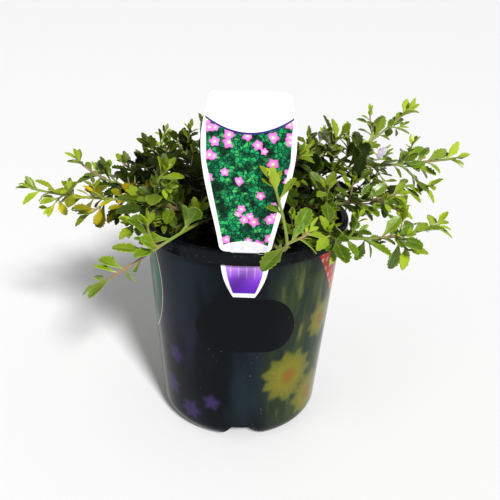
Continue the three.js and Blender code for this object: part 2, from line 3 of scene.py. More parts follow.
import bmesh
import bpy
import numpy as np
from mathutils import Matrix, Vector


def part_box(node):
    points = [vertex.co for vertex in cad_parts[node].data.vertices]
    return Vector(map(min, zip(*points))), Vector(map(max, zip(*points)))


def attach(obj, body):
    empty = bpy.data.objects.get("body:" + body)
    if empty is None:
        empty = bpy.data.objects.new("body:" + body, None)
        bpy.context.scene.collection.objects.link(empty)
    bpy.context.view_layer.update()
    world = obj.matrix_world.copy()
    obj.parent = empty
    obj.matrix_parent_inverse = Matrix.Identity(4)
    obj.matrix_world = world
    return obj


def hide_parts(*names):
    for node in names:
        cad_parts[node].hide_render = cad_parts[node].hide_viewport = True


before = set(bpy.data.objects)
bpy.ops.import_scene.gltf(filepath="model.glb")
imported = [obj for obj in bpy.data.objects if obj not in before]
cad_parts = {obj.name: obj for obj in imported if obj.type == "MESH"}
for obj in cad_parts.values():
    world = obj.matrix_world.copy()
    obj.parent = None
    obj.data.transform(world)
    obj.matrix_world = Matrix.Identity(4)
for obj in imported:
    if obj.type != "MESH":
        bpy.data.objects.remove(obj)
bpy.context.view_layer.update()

bl_info = {
    "name": "Potted fan flower",
    "version": (1, 0, 0),
    "blender": (4, 5, 0),
    "location": "View3D > Sidebar > Fan flower",
    "description": "A fan flower in a nursery pot, built round its packed solids",
    "category": "Add Mesh",
}

MM = 0.001


def colour(code):
    """The linear colour of a screen colour written as 0xRRGGBB."""
    shares = [(code >> shift & 255) / 255 for shift in (16, 8, 0)]
    return tuple(s / 12.92 if s <= 0.04045 else ((s + 0.055) / 1.055) ** 2.4 for s in shares)


# The pot, in millimetres

RIM_RADIUS = 70
POT_HEIGHT = 150
SKIRT_HEIGHT = 8
SKIRT_THICKNESS = 0.9
FLANGE_THICKNESS = 1.4
WALL_TOP_RADIUS = 66.2
WALL_THICKNESS = 1.4
FOOT_RADIUS = 42
CORNER_RADIUS = 14
CORNER_ANGLE = 85.5
NOTCH_HEIGHT = 13
NOTCH_HALF_WIDTH = 8
NOTCH_SPREAD = 10
NOTCH_TURN = 4
NOTCH_INNER_RADIUS = 33
DRAIN_RADIUS = 4.5
DRAIN_CIRCLE = 27
SOIL_HEIGHT = 130
SOIL_CROWN = 3
SOIL_BUMP = 0.9
GAP = 0.35

# The tag, whose outline is given upwards from the rim's top

TAG_THICKNESS = 0.6
TAG_MIDDLE = 1.5
TAG_TOP = 95
TAG_TOP_HALF_WIDTH = 22
TAG_WIDEST = 70
TAG_HALF_WIDTH = 25.8
TAG_SHOULDER_HALF_WIDTH = 15.6
TAG_CORNER = 5
TAG_NECK_HALF_WIDTH = 8.5
BARB_TOP = -SKIRT_HEIGHT - GAP
BARB_HALF_WIDTH = 14.2
BARB_TIP = -31
BARB_TIP_HALF_WIDTH = 6.6
SLOT_PLAY = 0.7

# The plant's rule, in millimetres and degrees: the same as that of the solids

ROOT_DEPTH = 10
ROOT_RISE = 2
STEM_RADIUS = 1.2
SIDE_RADIUS = 0.9
STEM_STEP = 20
LEAF_LENGTH = 21
LEAF_SLIMNESS = 0.47
LEAF_SPACING = 12.3
YOUNG_LENGTH = 12.5
YOUNG_MAIN = 4
YOUNG_SIDE = 3
YOUNG_SPACING = 2
GOLDEN_ANGLE = 137.5
BARE_SHARE = 0.28
SEED = 5
OTHER_GAP = 4.4
OWN_GAP = 2.6
RIM_GAP = 1.6
TRIES = 9

# Ways a blade bends: back along its length, up from the midrib, and to one side
FORMS = [(0.1, 0.3, 0.05), (0.22, 0.18, -0.08), (-0.08, 0.42, 0.1), (0.32, 0.25, 0), (0.02, 0.5, -0.12)]

BLOOM_TUBE = 5
BLOOM_STALK = 4
PETAL_LENGTH = 8.5
PETAL_SLIMNESS = 0.48
PETAL_TURN = 38
PETAL_OPEN = 62
PETALS = 5

# Share of a main stem's run below its leaves, where it isn't BARE_SHARE
BARE_SHARES = {"front_upright": 1, "front_left_trailing": 0.5}

# These fill the plant's heart, and bear more sprigs than the rest
INNER_SHOOTS = ("left_top", "left_rise", "left_back", "crown_left", "crown_front", "crown_right")

# These stand in front, where the light reaches all of their leaves, so they get less of the painted shade of
# the plant's heart
FRONT_SHOOTS = ("front_upright", "front_left_trailing", "left_front_upright", "right_low", "right_front")

# The front shoot's tip has a close tuft: share of the run, turn, opening angle and length of each leaf
FRONT_TUFT = [(0.99, 75, 10, 14.5), (0.985, 15, 26, 13.5), (0.985, 160, 22, 13.5), (0.965, 335, 20, 12.5)]
TUFT_GAP = 1.1

# The sprigs and small leaves that only this script adds: SPRIG_LEAF and SMALL_LEAF are shares of the
# size of the solids' leaves, and the rest is in millimetres, as above
SPRIG_RADIUS = 0.62
SPRIG_TRIES = 6
SPRIG_OTHER_GAP = 2.4
SPRIG_OWN_GAP = 1.6
SPRIG_SPACING = 4.5
SPRIG_LEAF = 0.62
EXTRA_SPRIGS = 5
SMALL_SPACING = 7.5
SMALL_LEAF = 0.66
SMALL_OTHER_GAP = 2.3
SMALL_OWN_GAP = 1.5

# Each shoot: its root (azimuth, distance from the axis), lift, bend, tip, side shoots and own leaves
SHOOTS = [
    ("front_upright", (288, 22), 29, (38, -138, 142), (15.5, -77, 196.5), [(0.68, 36, -84, 171)],
     [(0.69, 290, 80, 22), (0.84, 245, 40, 13), (0.91, 5, 60, 16), (0.97, 60, 16, 15)]),
    ("front_left_trailing", (245, 14), 40, (-48, -96, 158), (-89, -60, 121),
     [(0.48, -27, -50, 168), (0.6, -58, -52, 160)],
     [(0.62, 100, 75, 19), (0.66, 60, 50, 21), (0.83, 80, 45, 15), (0.78, 270, 60, 15)]),
    ("left_front_upright", (212, 13), 18, (-75, -44, 160), (-47, -42, 190),
     [(0.55, -68, -32, 168), (0.62, -68, -50, 158)],
     [(0.93, 100, 20, 17), (0.78, 200, 50, 21), (0.7, 340, 60, 16)]),
    ("far_left", (176, 14), 32, (-88, 2, 146), (-140, -8, 164), [(0.6, -104, -14, 150)],
     [(0.8, 90, 60, 13), (0.7, 250, 60, 15)]),
    ("left_high", (160, 15), 30, (-86, 26, 140), (-116, 22, 175), [(0.62, -100, 38, 164)], []),
    ("left_back", (146, 17), 32, (-66, 36, 148), (-90, 48, 166), [(0.6, -74, 60, 166)],
     [(0.85, 150, 60, 22)]),
    ("left_top", (188, 7), 36, (-48, 8, 166), (-66, 14, 190), [(0.6, -44, -16, 182)], []),
    ("left_rise", (134, 11), 32, (-36, 34, 160), (-50, 48, 184), [(0.62, -28, 52, 178)], []),
    ("right_low", (305, 16), 26, (50, -84, 150), (118, -46, 163),
     [(0.5, 50, -64, 163), (0.76, 98, -66, 154)], []),
    ("right_long", (8, 14), 54, (66, 14, 174), (138, 5, 190),
     [(0.55, 84, 26, 190), (0.74, 120, -6, 174)], []),
    ("right_high", (28, 15), 28, (76, 40, 172), (112, 46, 212), [(0.6, 100, 52, 176)], []),
    ("right_centre", (348, 16), 34, (64, -4, 168), (110, -6, 174),
     [(0.5, 72, -20, 182), (0.7, 98, -24, 164)], []),
    ("right_front", (328, 15), 30, (60, -34, 164), (92, -36, 178), [(0.5, 50, -43, 182)],
     [(0.75, 0, 47, 22)]),
    ("right_back", (56, 13), 34, (50, 34, 168), (66, 36, 196), [(0.62, 44, 50, 188)],
     [(0.9, 120, 60, 22)]),
    ("back_right", (70, 18), 32, (44, 78, 158), (66, 104, 168), [(0.6, 36, 96, 166)], []),
    ("back", (92, 17), 38, (2, 72, 168), (-2, 112, 182), [(0.6, 20, 80, 190)], []),
    ("back_left", (116, 18), 32, (-40, 76, 160), (-64, 100, 172), [(0.6, -34, 92, 184)], []),
    ("crown_right", (330, 6), 40, (22, -14, 176), (34, -18, 196),
     [(0.61, 20, -36, 184), (0.47, 44, -37, 168)], []),
    ("crown_front", (268, 8), 34, (2, -30, 160), (6, -46, 178), [(0.6, -14, -48, 166)], []),
    ("crown_left", (240, 7), 36, (-14, -24, 168), (-16, -34, 186),
     [(0.6, -36, -16, 172), (0.45, -36, -38, 160)], []),
]

# Each bloom: its shoot, the share of the run, the turn round the stem and the opening from it
BLOOMS = [("right_high", 0.72, 300, 70), ("right_back", 0.84, 200, 60), ("right_high", 0.56, 320, 75)]

# Fine outlines: share of the length, share of the half width, and the edge's share of that
TOOTHED = [
    (0, 0.09, 1), (0.14, 0.13, 1), (0.28, 0.31, 1), (0.4, 0.56, 1), (0.5, 0.81, 1), (0.6, 0.95, 1.1),
    (0.655, 0.96, 0.83), (0.72, 0.93, 1.12), (0.78, 0.88, 0.81), (0.84, 0.81, 1.13), (0.9, 0.66, 0.79),
    (0.955, 0.46, 1.12), (1, 0.12, 1),
]
YOUNG = [
    (0, 0.12, 1), (0.2, 0.26, 1), (0.38, 0.65, 1), (0.53, 0.96, 1.05), (0.64, 0.94, 0.88), (0.75, 0.8, 1.1),
    (0.84, 0.63, 0.86), (0.93, 0.42, 1.08), (1, 0.1, 1),
]
PETAL = [
    (0, 0.3, 1), (0.1, 0.36, 1), (0.25, 0.58, 1), (0.4, 0.8, 1), (0.52, 0.92, 1.03), (0.65, 0.97, 0.98),
    (0.76, 0.94, 1.03), (0.86, 0.83, 0.97), (0.93, 0.58, 1), (0.98, 0.28, 1), (1, 0.1, 1),
]

radians = math.radians


def draw(a, b):
    """A fixed draw between 0 and 1 for each pair of numbers."""
    wave = math.sin(a * 12.9898 + b * 78.233 + SEED) * 4375.85453
    return wave - math.floor(wave)


def unit(vector):
    """A vector's direction, one long."""
    return vector / math.sqrt(vector @ vector)


LIGHT = unit(np.array([0.15, -0.25, 1.0]))


def wall_radius(height):
    """The outer radius of the straight wall at a height."""
    foot = FOOT_RADIUS + CORNER_RADIUS
    straight = POT_HEIGHT - SKIRT_HEIGHT - CORNER_RADIUS
    return foot + (WALL_TOP_RADIUS - foot) * (height - CORNER_RADIUS) / straight


def soil_top(x, y):
    """The height of the mix, which is crowned and a little lumpy."""
    bumps = math.sin(0.31 * x + 0.5) * math.cos(0.27 * y) + 0.6 * math.sin(0.71 * x - 0.53 * y)
    return SOIL_HEIGHT + SOIL_CROWN * (1 - math.hypot(x, y) / wall_radius(SOIL_HEIGHT)) + SOIL_BUMP * bumps


# The plant's growth


class Path:
    """A cubic curve through space that is measured along its length."""

    def __init__(self, *points):
        self.points = [np.array(point, float) for point in points]
        fine = np.array([self.at(i / 200) for i in range(201)])
        steps = np.linalg.norm(np.diff(fine, axis=0), axis=1)
        self.marks = np.concatenate([[0], np.cumsum(steps)])
        self.length = self.marks[-1]

    def at(self, t):
        first, second, third, last = self.points
        k = 1 - t
        return k**3 * first + 3 * k * k * t * second + 3 * k * t * t * third + t**3 * last

    def place(self, share):
        return np.interp(share * self.length, self.marks, np.linspace(0, 1, 201))

    def point(self, share):
        return self.at(self.place(share))

    def ahead(self, share):
        t = self.place(share)
        return unit(self.at(min(1, t + 0.0001)) - self.at(max(0, t - 0.0001)))


class Stem:
    """A stem along a path, with the straight joints that its leaves are placed on."""

    def __init__(self, path, radius):
        self.path, self.radius, self.length = path, radius, path.length
        steps = max(2, math.floor(path.length / STEM_STEP + 0.5))
        self.joints = [path.point(i / steps) for i in range(steps + 1)]

    def point(self, share):
        place = share * (len(self.joints) - 1)
        before = min(int(place), len(self.joints) - 2)
        return self.joints[before] + (self.joints[before + 1] - self.joints[before]) * (place - before)

    def marks(self):
        count = math.ceil(self.length / 3)
        return np.array([self.point(i / count) for i in range(count + 1)])


def main_stem(root, lift, bend, tip):
    """A shoot's main stem, from its hole in the mix to its tip."""
    azimuth, distance = root
    x, y = distance * math.cos(radians(azimuth)), distance * math.sin(radians(azimuth))
    foot = np.array([x, y, soil_top(x, y) + ROOT_RISE])
    return Stem(Path(foot, foot + [0, 0, lift], bend, tip), STEM_RADIUS)


def side_stem(main, share, tip, radius=SIDE_RADIUS):
    """A side stem that leaves the main one at a share of its run and turns up towards the light."""
    start, end = main.point(share), np.array(tip, float)
    reach = math.dist(start, end) / 3
    leave = start + main.path.ahead(share) * reach
    arrive = end - unit(unit(end - start) + LIGHT) * reach
    return Stem(Path(start, leave, arrive, end), radius)


def blade_place(stem, share, turn, open_angle):
    """The axes of a blade, as columns: along it, across it, out of its face, and its foot."""
    ahead = stem.path.ahead(share)
    beside = unit(np.cross(ahead, LIGHT))
    above = np.cross(beside, ahead)
    turn, open_angle = radians(turn), radians(open_angle)
    out = beside * math.cos(turn) + above * math.sin(turn)
    along = ahead * math.cos(open_angle) + out * math.sin(open_angle)
    face = ahead * (0.4 * math.sin(open_angle)) - out * (0.4 * math.cos(open_angle))
    face = face + LIGHT * 0.9 + beside * (0.25 * np.sign(math.cos(turn)))
    face = unit(face - along * (face @ along))
    return np.column_stack([along, np.cross(face, along), face, stem.point(share)])


BLADE_MARKS = ((0.35, 0), (0.6, -0.85), (0.6, 0), (0.6, 0.85), (0.85, -0.6), (0.85, 0), (0.85, 0.6), (1, 0))


def blade_marks(place, length, width, form):
    """Points spread over a blade, which its clearances are measured from."""
    curl, fold, sweep = form
    marks = []
    for along, side in BLADE_MARKS:
        across = side * width / 2
        bent = length * along * along
        point = (length * along, across + sweep * bent, fold * abs(across) - curl * bent)
        marks.append(place[:, :3] @ point + place[:, 3])
    return np.array(marks)


class Room:
    """What is in place so far, and whether a blade is clear of it and of the pot."""

    def __init__(self):
        self.things, self.centres, self.reaches = [], np.empty((0, 3)), np.empty(0)

    def add(self, owner, marks, blade=False):
        centre = marks.mean(axis=0)
        self.things.append((owner, blade, marks))
        self.centres = np.vstack([self.centres, centre])
        self.reaches = np.append(self.reaches, np.linalg.norm(marks - centre, axis=1).max())

    def clear_of_pot(self, marks):
        low = marks[marks[:, 2] < POT_HEIGHT + RIM_GAP]
        reach = np.hypot(low[:, 0], low[:, 1])
        inside = reach < wall_radius(low[:, 2]) - WALL_THICKNESS - RIM_GAP
        outside = reach > RIM_RADIUS + RIM_GAP
        if not (inside.all() or outside.all()):
            return False
        return all(z > soil_top(x, y) + RIM_GAP for x, y, z in low[inside])

    def clear_of_others(self, marks, owner, other_gap, own_gap):
        centre = marks.mean(axis=0)
        reach = np.linalg.norm(marks - centre, axis=1).max()
        apart = np.linalg.norm(self.centres - centre, axis=1)
        for index in np.flatnonzero(apart <= self.reaches + reach + other_gap):
            thing_owner, blade, others = self.things[index]
            own = thing_owner == owner
            if own and not blade:
                continue
            gap = own_gap if own else other_gap
            near = marks[len(marks) // 2:] if own else marks
            if np.linalg.norm(near[:, None] - others[None], axis=2).min() <= gap:
                return False
        return True


def place_blade(room, stem, owner, wish, other_gap=OTHER_GAP, own_gap=OWN_GAP):
    """Turns and shortens a blade until it is clear, or gives nothing where there is no place."""
    outline, form, share, turn, open_angle, length = wish
    for attempt in range(TRIES):
        swing = (1 if attempt % 2 else -1) * math.ceil(attempt / 2) * 24
        size = length * (1 - 0.05 * attempt)
        place = blade_place(stem, share, turn + swing, open_angle)
        marks = blade_marks(place, size, size * LEAF_SLIMNESS, FORMS[form])
        if room.clear_of_pot(marks) and room.clear_of_others(marks, owner, other_gap, own_gap):
            room.add(owner, marks, True)
            return {"outline": outline, "form": form, "length": size, "place": place,
                    "shift": stem.path.point(share) - stem.point(share), "share": share, "stem": stem}
    return None


def wishes(stem, number, bare, young, spacing=LEAF_SPACING, size=1.0):
    """The leaves that a stem should bear: grown ones spaced along it, then a tuft of young ones."""
    found = []
    leafy = stem.length * (1 - bare)
    count = max(2, math.floor(leafy / spacing + 0.5)) if leafy > 0 else 0
    for i in range(count):
        share = (i + 0.3 + 0.4 * draw(number, i)) / count
        found.append((
            "toothed", int(len(FORMS) * draw(number, i + 20)),
            bare + (0.96 - young * YOUNG_SPACING / stem.length - bare) * share,
            number * 70 + i * GOLDEN_ANGLE,
            58 - 22 * share + 14 * (draw(number, i + 40) - 0.5),
            size * LEAF_LENGTH * (1.1 - 0.35 * share) * (0.85 + 0.3 * draw(number, i + 60)),
        ))
    for i in range(young):
        share = i / (young - 1)
        found.append((
            "young", i % 3, 1 - (0.4 + (young - 1 - i) * YOUNG_SPACING) / stem.length,
            number * 70 + 40 + i * GOLDEN_ANGLE, 46 - 34 * share,
            size * YOUNG_LENGTH * (1.15 - 0.35 * share) * (0.9 + 0.2 * draw(number, i + 80)),
        ))
    return found


def bloom_place(stem, share, turn, open_angle):
    """Where a bloom's stalk starts and ends, and the bloom's own axes and place."""
    place = blade_place(stem, share, turn, open_angle)
    along, across, face, start = place.T
    end = start + along * (STEM_RADIUS + BLOOM_STALK)
    matrix = np.column_stack([across, face, along, end + along * GAP])
    return start + stem.path.point(share) - stem.point(share), end, matrix


def petal_places():
    """Each petal's axes and foot in the bloom's own frame: a fan on one side."""
    places = []
    for i in range(PETALS):
        swing, open_angle = radians((i - (PETALS - 1) / 2) * PETAL_TURN), radians(PETAL_OPEN)
        out = np.array([math.sin(swing), math.cos(swing), 0])
        along = out * math.sin(open_angle) + [0, 0, math.cos(open_angle)]
        face = out * -math.cos(open_angle) + [0, 0, math.sin(open_angle)]
        places.append(np.column_stack([along, np.cross(face, along), face, [0, 0, BLOOM_TUBE - 0.6]]))
    return places


def tag_lean():
    """The angle that the wall, and the tag before it, leans out by."""
    foot = FOOT_RADIUS + CORNER_RADIUS
    return math.atan2(WALL_TOP_RADIUS - foot, POT_HEIGHT - SKIRT_HEIGHT - CORNER_RADIUS)


def tag_matrix():
    """Stands what is drawn in XY, upwards from the rim's top, in the tag's leaning plane."""
    turn = Matrix.Rotation(math.pi / 2 + tag_lean(), 4, "X")
    place = (TAG_MIDDLE * MM, (-wall_radius(POT_HEIGHT) - GAP) * MM, POT_HEIGHT * MM)
    return Matrix.Translation(place) @ turn


def tag_marks():
    """Points spread over the tag, which the leaves stay clear of: in single precision, as the solids' are."""
    angle = math.pi / 2 + tag_lean()
    rows = [(x, up) for up in range(-30, TAG_TOP, 5) for x in range(-25, 26, 5)]
    marks = [(x + TAG_MIDDLE, up * math.cos(angle) - wall_radius(POT_HEIGHT) - GAP,
              up * math.sin(angle) + POT_HEIGHT) for x, up in rows]
    return np.array(marks, np.float32).astype(float)


def sprigs(room, main, owner, number, count):
    """Short side sprigs that fill a shoot out, each kept where it is clear."""
    found = []
    for i in range(count):
        share = 0.14 + 0.72 * (i + draw(number, i + 100)) / count
        ahead = main.path.ahead(share)
        beside = unit(np.cross(ahead, LIGHT))
        above = np.cross(beside, ahead)
        for attempt in range(SPRIG_TRIES):
            turn = radians(number * 50 + i * GOLDEN_ANGLE + attempt * 60)
            out = beside * math.cos(turn) + above * math.sin(turn)
            reach = (13 + 9 * draw(number, i + 120)) * (1 - 0.06 * attempt)
            end = main.point(share) + unit(ahead * 0.6 + out * 0.9 + LIGHT * 0.3) * reach
            stem = side_stem(main, share, end, SPRIG_RADIUS)
            marks = stem.marks()[2:]
            clear = room.clear_of_pot(marks)
            if clear and room.clear_of_others(marks, owner, SPRIG_OTHER_GAP, SPRIG_OWN_GAP):
                room.add(owner, stem.marks())
                found.append(stem)
                break
    return found


def grow(settings):
    """The stems and blades of every shoot, in the order that the solids are placed in."""
    room = Room()
    room.add("tag", tag_marks())
    plants = []
    for name, root, lift, bend, tip, sides, own in SHOOTS:
        main = main_stem(root, lift, bend, tip)
        stems = [main] + [side_stem(main, side[0], side[1:]) for side in sides]
        for stem in stems:
            room.add(name, stem.marks())
        plants.append({"name": name, "stems": stems, "own": own, "blades": [], "stalks": []})
    blooms = []
    for number, (owner, share, turn, open_angle) in enumerate(BLOOMS, 1):
        plant = next(one for one in plants if one["name"] == owner)
        start, end, matrix = bloom_place(plant["stems"][0], share, turn, open_angle)
        plant["stalks"].append((start, end))
        for place in petal_places():
            marks = blade_marks(place, PETAL_LENGTH, PETAL_LENGTH * PETAL_SLIMNESS, (0.12, 0.15, 0))
            room.add(f"bloom_{number}", marks @ matrix[:, :3].T + matrix[:, 3])
        blooms.append(matrix)
    for plant in plants:
        for share, turn, open_angle, length in plant["own"]:
            form = len(plant["blades"]) % len(FORMS)
            wish = ("toothed", form, share, turn, open_angle, length)
            plant["blades"].append(place_blade(room, plant["stems"][0], plant["name"], wish))
    for index, plant in enumerate(plants):
        for order, stem in enumerate(plant["stems"]):
            bare, young = 0.25, YOUNG_SIDE
            if order == 0:
                bare, young = BARE_SHARES.get(plant["name"], BARE_SHARE), YOUNG_MAIN
            for wish in wishes(stem, index * 4 + order + 1, bare, young):
                plant["blades"].append(place_blade(room, stem, plant["name"], wish))
        plant["solid_blades"] = len([blade for blade in plant["blades"] if blade])
    fill_out(room, plants, settings)
    for plant in plants:
        plant["blades"] = [blade for blade in plant["blades"] if blade]
    return plants, blooms


def fill_out(room, plants, settings):
    """Small leaves and sprigs between the solids' leaves, too many and too fine for the solids."""
    for index, plant in enumerate(plants):
        main, owner = plant["stems"][0], plant["name"]
        number = settings.sprigs + EXTRA_SPRIGS * (owner in INNER_SHOOTS)
        added = sprigs(room, main, owner, 300 + index, 0 if owner in BARE_SHARES else number)
        for order, stem in enumerate(added):
            for wish in wishes(stem, 400 + index * 9 + order, 0.2, 4, SPRIG_SPACING, SPRIG_LEAF):
                plant["blades"].append(place_blade(room, stem, owner, wish, SMALL_OTHER_GAP, SMALL_OWN_GAP))
        plant["stems"] = plant["stems"] + added
    for index, plant in enumerate(plants):
        owner = plant["name"]
        for order, stem in enumerate(plant["stems"][:3]):
            if order == 0 and owner == "front_upright":
                for share, turn, open_angle, length in FRONT_TUFT:
                    wish = ("young", 0, share, turn, open_angle, length)
                    plant["blades"].append(place_blade(room, stem, owner, wish, TUFT_GAP, -1))
            if order == 0 and owner in BARE_SHARES:
                continue
            for wish in wishes(stem, 700 + index * 5 + order, 0.12, 2, SMALL_SPACING, SMALL_LEAF):
                plant["blades"].append(place_blade(room, stem, owner, wish, SMALL_OTHER_GAP, SMALL_OWN_GAP))


# Modelling helpers


def clear_selection():
    """Leaves edit mode and deselects everything."""
    if bpy.context.object and bpy.context.object.mode != "OBJECT":
        bpy.ops.object.mode_set(mode="OBJECT")
    bpy.ops.object.select_all(action="DESELECT")


def started(name):
    """Names the primitive just added, and opens it for editing."""
    piece = bpy.context.object
    piece.name = piece.data.name = name
    bpy.ops.object.mode_set(mode="EDIT")
    return piece


def pick(piece, test, kind="verts"):
    """Selects the corners, edges or faces of the edited piece that pass a test."""
    bpy.ops.mesh.select_all(action="DESELECT")
    mesh = bmesh.from_edit_mesh(piece.data)
    for item in getattr(mesh, kind):
        item.select_set(bool(test(item)))
    if kind == "verts":
        mesh.select_flush(True)
    bmesh.update_edit_mesh(piece.data)


def done(piece, smooth=None):
    """Leaves edit mode, puts the piece's place in its mesh, and shades it."""
    bpy.ops.object.mode_set(mode="OBJECT")
    clear_selection()
    piece.select_set(True)
    bpy.context.view_layer.objects.active = piece
    bpy.ops.object.transform_apply(location=True, rotation=True, scale=True)
    if smooth is not None:
        bpy.ops.object.shade_smooth_by_angle(angle=radians(smooth))
    return piece


def modify(piece, kind, **settings):
    """Adds a modifier with its settings and applies it."""
    clear_selection()
    piece.select_set(True)
    bpy.context.view_layer.objects.active = piece
    modifier = piece.modifiers.new(kind.title(), kind)
    for name, value in settings.items():
        setattr(modifier, name, value)
    bpy.ops.object.modifier_apply(modifier=modifier.name)


def cut(piece, tool):
    """Cuts a tool's shape out of a piece, and removes the tool."""
    modify(piece, "BOOLEAN", operation="DIFFERENCE", object=tool, solver="EXACT")
    bpy.data.objects.remove(tool)


def join(name, pieces):
    """Joins pieces into one object of this name."""
    clear_selection()
    for piece in pieces:
        piece.select_set(True)
    bpy.context.view_layer.objects.active = pieces[0]
    if len(pieces) > 1:
        bpy.ops.object.join()
    piece = bpy.context.object
    piece.name = piece.data.name = name
    return piece


def turned(name, profile, sides):
    """A turned shell: a disc whose edge is extruded from ring to ring of the profile."""
    clear_selection()
    radius, height = profile[0]
    bpy.ops.mesh.primitive_circle_add(
        vertices=sides, radius=radius * MM, fill_type="TRIFAN", location=(0, 0, height * MM))
    piece = started(name)
    pick(piece, lambda edge: edge.is_boundary, "edges")
    for next_radius, next_height in profile[1:]:
        rise = (0, 0, (next_height - height) * MM)
        bpy.ops.mesh.extrude_edges_move(TRANSFORM_OT_translate={"value": rise})
        if next_radius > 0:
            share = next_radius / radius
            bpy.ops.transform.resize(value=(share, share, 1), center_override=(0, 0, next_height * MM))
        else:
            bpy.ops.mesh.merge(type="CENTER")
        radius, height = next_radius, next_height
    bpy.ops.mesh.select_all(action="SELECT")
    bpy.ops.mesh.normals_make_consistent(inside=False)
    return done(piece)


def ribbon(name, rows, columns, form=(0, 0, 0), width=1.0, dip=0.0):
    """A flat grid whose rows are set to their widths, then folded up from its middle and curled back."""
    curl, fold, sweep = form
    clear_selection()
    count = len(rows) - 1
    bpy.ops.mesh.primitive_grid_add(
        x_subdivisions=count, y_subdivisions=columns, size=1, location=(0.5, 0, 0))
    piece = started(name)
    half = width / 2
    corners = bmesh.from_edit_mesh(piece.data).verts
    row_of = {corner.index: round((corner.co.x + 0.5) * count) for corner in corners}
    for index, (along, share, edge) in enumerate(rows):
        at = index / count
        pick(piece, lambda corner: row_of[corner.index] == index)
        bpy.ops.transform.resize(value=(1, 2 * half * share, 1), center_override=(at, 0, 0))
        if edge != 1:
            pick(piece, lambda corner: row_of[corner.index] == index
                 and abs(corner.co.y) > 0.99 * half * share)
            bpy.ops.transform.resize(value=(1, edge, 1), center_override=(at, 0, 0))
    if fold or dip:
        for side in (1, -1):
            pick(piece, lambda corner: corner.co.y * side > 1e-5)
            bpy.ops.transform.translate(value=(0, 0, dip))
            bpy.ops.transform.rotate(
                value=-side * math.atan(fold), orient_axis="X", center_override=(0, 0, dip))
            stretch = 1 / math.cos(math.atan(fold))
            bpy.ops.transform.resize(value=(1, stretch, stretch), center_override=(0, 0, dip))
    for index, (along, share, edge) in enumerate(rows):
        pick(piece, lambda corner: row_of[corner.index] == index)
        bent = along * along
        bpy.ops.transform.translate(value=(along - index / count, sweep * bent, -curl * bent))
    return done(piece)


# Materials


class Finish:
    """A material under construction: its nodes are added by short calls."""

    def __init__(self, name, **values):
        self.material = bpy.data.materials.new(name)
        self.material.use_nodes = True
        self.tree = self.material.node_tree
        self.surface = self.tree.nodes["Principled BSDF"]
        for socket, value in values.items():
            self.set(socket.replace("_", " "), value)

    def set(self, socket, value):
        self.put(self.surface.inputs[socket], value)

    def put(self, socket, value):
        if isinstance(value, bpy.types.NodeSocket):
            self.tree.links.new(value, socket)
        elif value is not None:
            if isinstance(value, tuple) and len(value) == 3 and len(socket.default_value) == 4:
                value = (*value, 1)
            socket.default_value = value

    def node(self, kind, *inputs, **settings):
        node = self.tree.nodes.new("ShaderNode" + kind)
        for name, value in settings.items():
            setattr(node, name, value)
        for socket, value in zip(node.inputs, inputs):
            self.put(socket, value)
        return node

    def math(self, operation, *values, clamp=False):
        return self.node("Math", *values, operation=operation, use_clamp=clamp).outputs[0]

    def mix(self, amount, low, high):
        node = self.node("Mix", data_type="RGBA")
        for index, value in ((0, amount), (6, low), (7, high)):
            self.put(node.inputs[index], value)
        return node.outputs[2]

    def step(self, value, low, high):
        """0 below low, 1 above high, and smooth between them."""
        node = self.node("MapRange", value, low, high, 0.0, 1.0, interpolation_type="SMOOTHSTEP")
        return node.outputs[0]

    def within(self, value, low, high, soft):
        """1 between low and high."""
        rise = self.step(value, low - soft, low + soft)
        return self.math("SUBTRACT", rise, self.step(value, high - soft, high + soft))

    def inverse(self, mask):
        return self.math("SUBTRACT", 1.0, mask)

    def both(self, *masks):
        """The product of masks."""
        found = masks[0]
        for mask in masks[1:]:
            found = self.math("MULTIPLY", found, mask)
        return found

    def noise(self, vector, scale, detail=2.0, roughness=0.5, dimensions="3D"):
        node = self.node("TexNoise", noise_dimensions=dimensions)
        sockets = {"Vector": vector, "Scale": scale, "Detail": detail, "Roughness": roughness}
        for socket, value in sockets.items():
            self.put(node.inputs[socket], value)
        return node.outputs[0]

    def cells(self, vector, scale, feature="F1", dimensions="3D"):
        node = self.node("TexVoronoi", feature=feature, voronoi_dimensions=dimensions)
        self.put(node.inputs["Vector"], vector)
        self.put(node.inputs["Scale"], scale)
        return node

    def ramp(self, amount, *stops):
        node = self.node("ValToRGB", amount)
        elements = node.color_ramp.elements
        while len(elements) < len(stops):
            elements.new(0.5)
        for element, (position, tint) in zip(elements, stops):
            element.position, element.color = position, (*tint, 1)
        return node.outputs[0]

    def place(self):
        return self.node("TexCoord").outputs["Object"]

    def parts(self, vector):
        return self.node("SeparateXYZ", vector).outputs[:3]

    def join(self, x, y, z=0.0):
        return self.node("CombineXYZ", x, y, z).outputs[0]

    def attribute(self, name):
        return self.node("Attribute", attribute_name=name).outputs["Fac"]

    def relief(self, height, strength, distance):
        node = self.node("Bump")
        for socket, value in (("Height", height), ("Strength", strength), ("Distance", distance)):
            self.put(node.inputs[socket], value)
        self.set("Normal", node.outputs[0])


def rosette(finish, dx, dy, radius, petals, turn=0.0, soft=0.5, depth=0.15):
    """A mask of a simple open blossom about the origin of dx and dy, one of its middle, and the reach."""
    reach = finish.math("SQRT", finish.math("ADD", finish.both(dx, dx), finish.both(dy, dy)))
    angle = finish.math("ARCTAN2", dy, dx)
    wave = finish.math("COSINE", finish.math("MULTIPLY_ADD", angle, petals, turn))
    lobe = finish.math("MULTIPLY", finish.math("MULTIPLY_ADD", wave, depth, 1 - depth), radius)
    inside = finish.step(finish.math("SUBTRACT", lobe, reach), -soft, soft)
    middle = finish.step(finish.math("SUBTRACT", finish.math("MULTIPLY", radius, 0.22), reach), -soft, soft)
    return inside, middle, reach


# The print on the wall, in millimetres round it from the front and up it

WALL_PRINT_RADIUS = 62
HALF_ROUND = math.pi * WALL_PRINT_RADIUS
PRINT_BOTTOM = 5
PRINT_TOP = 141
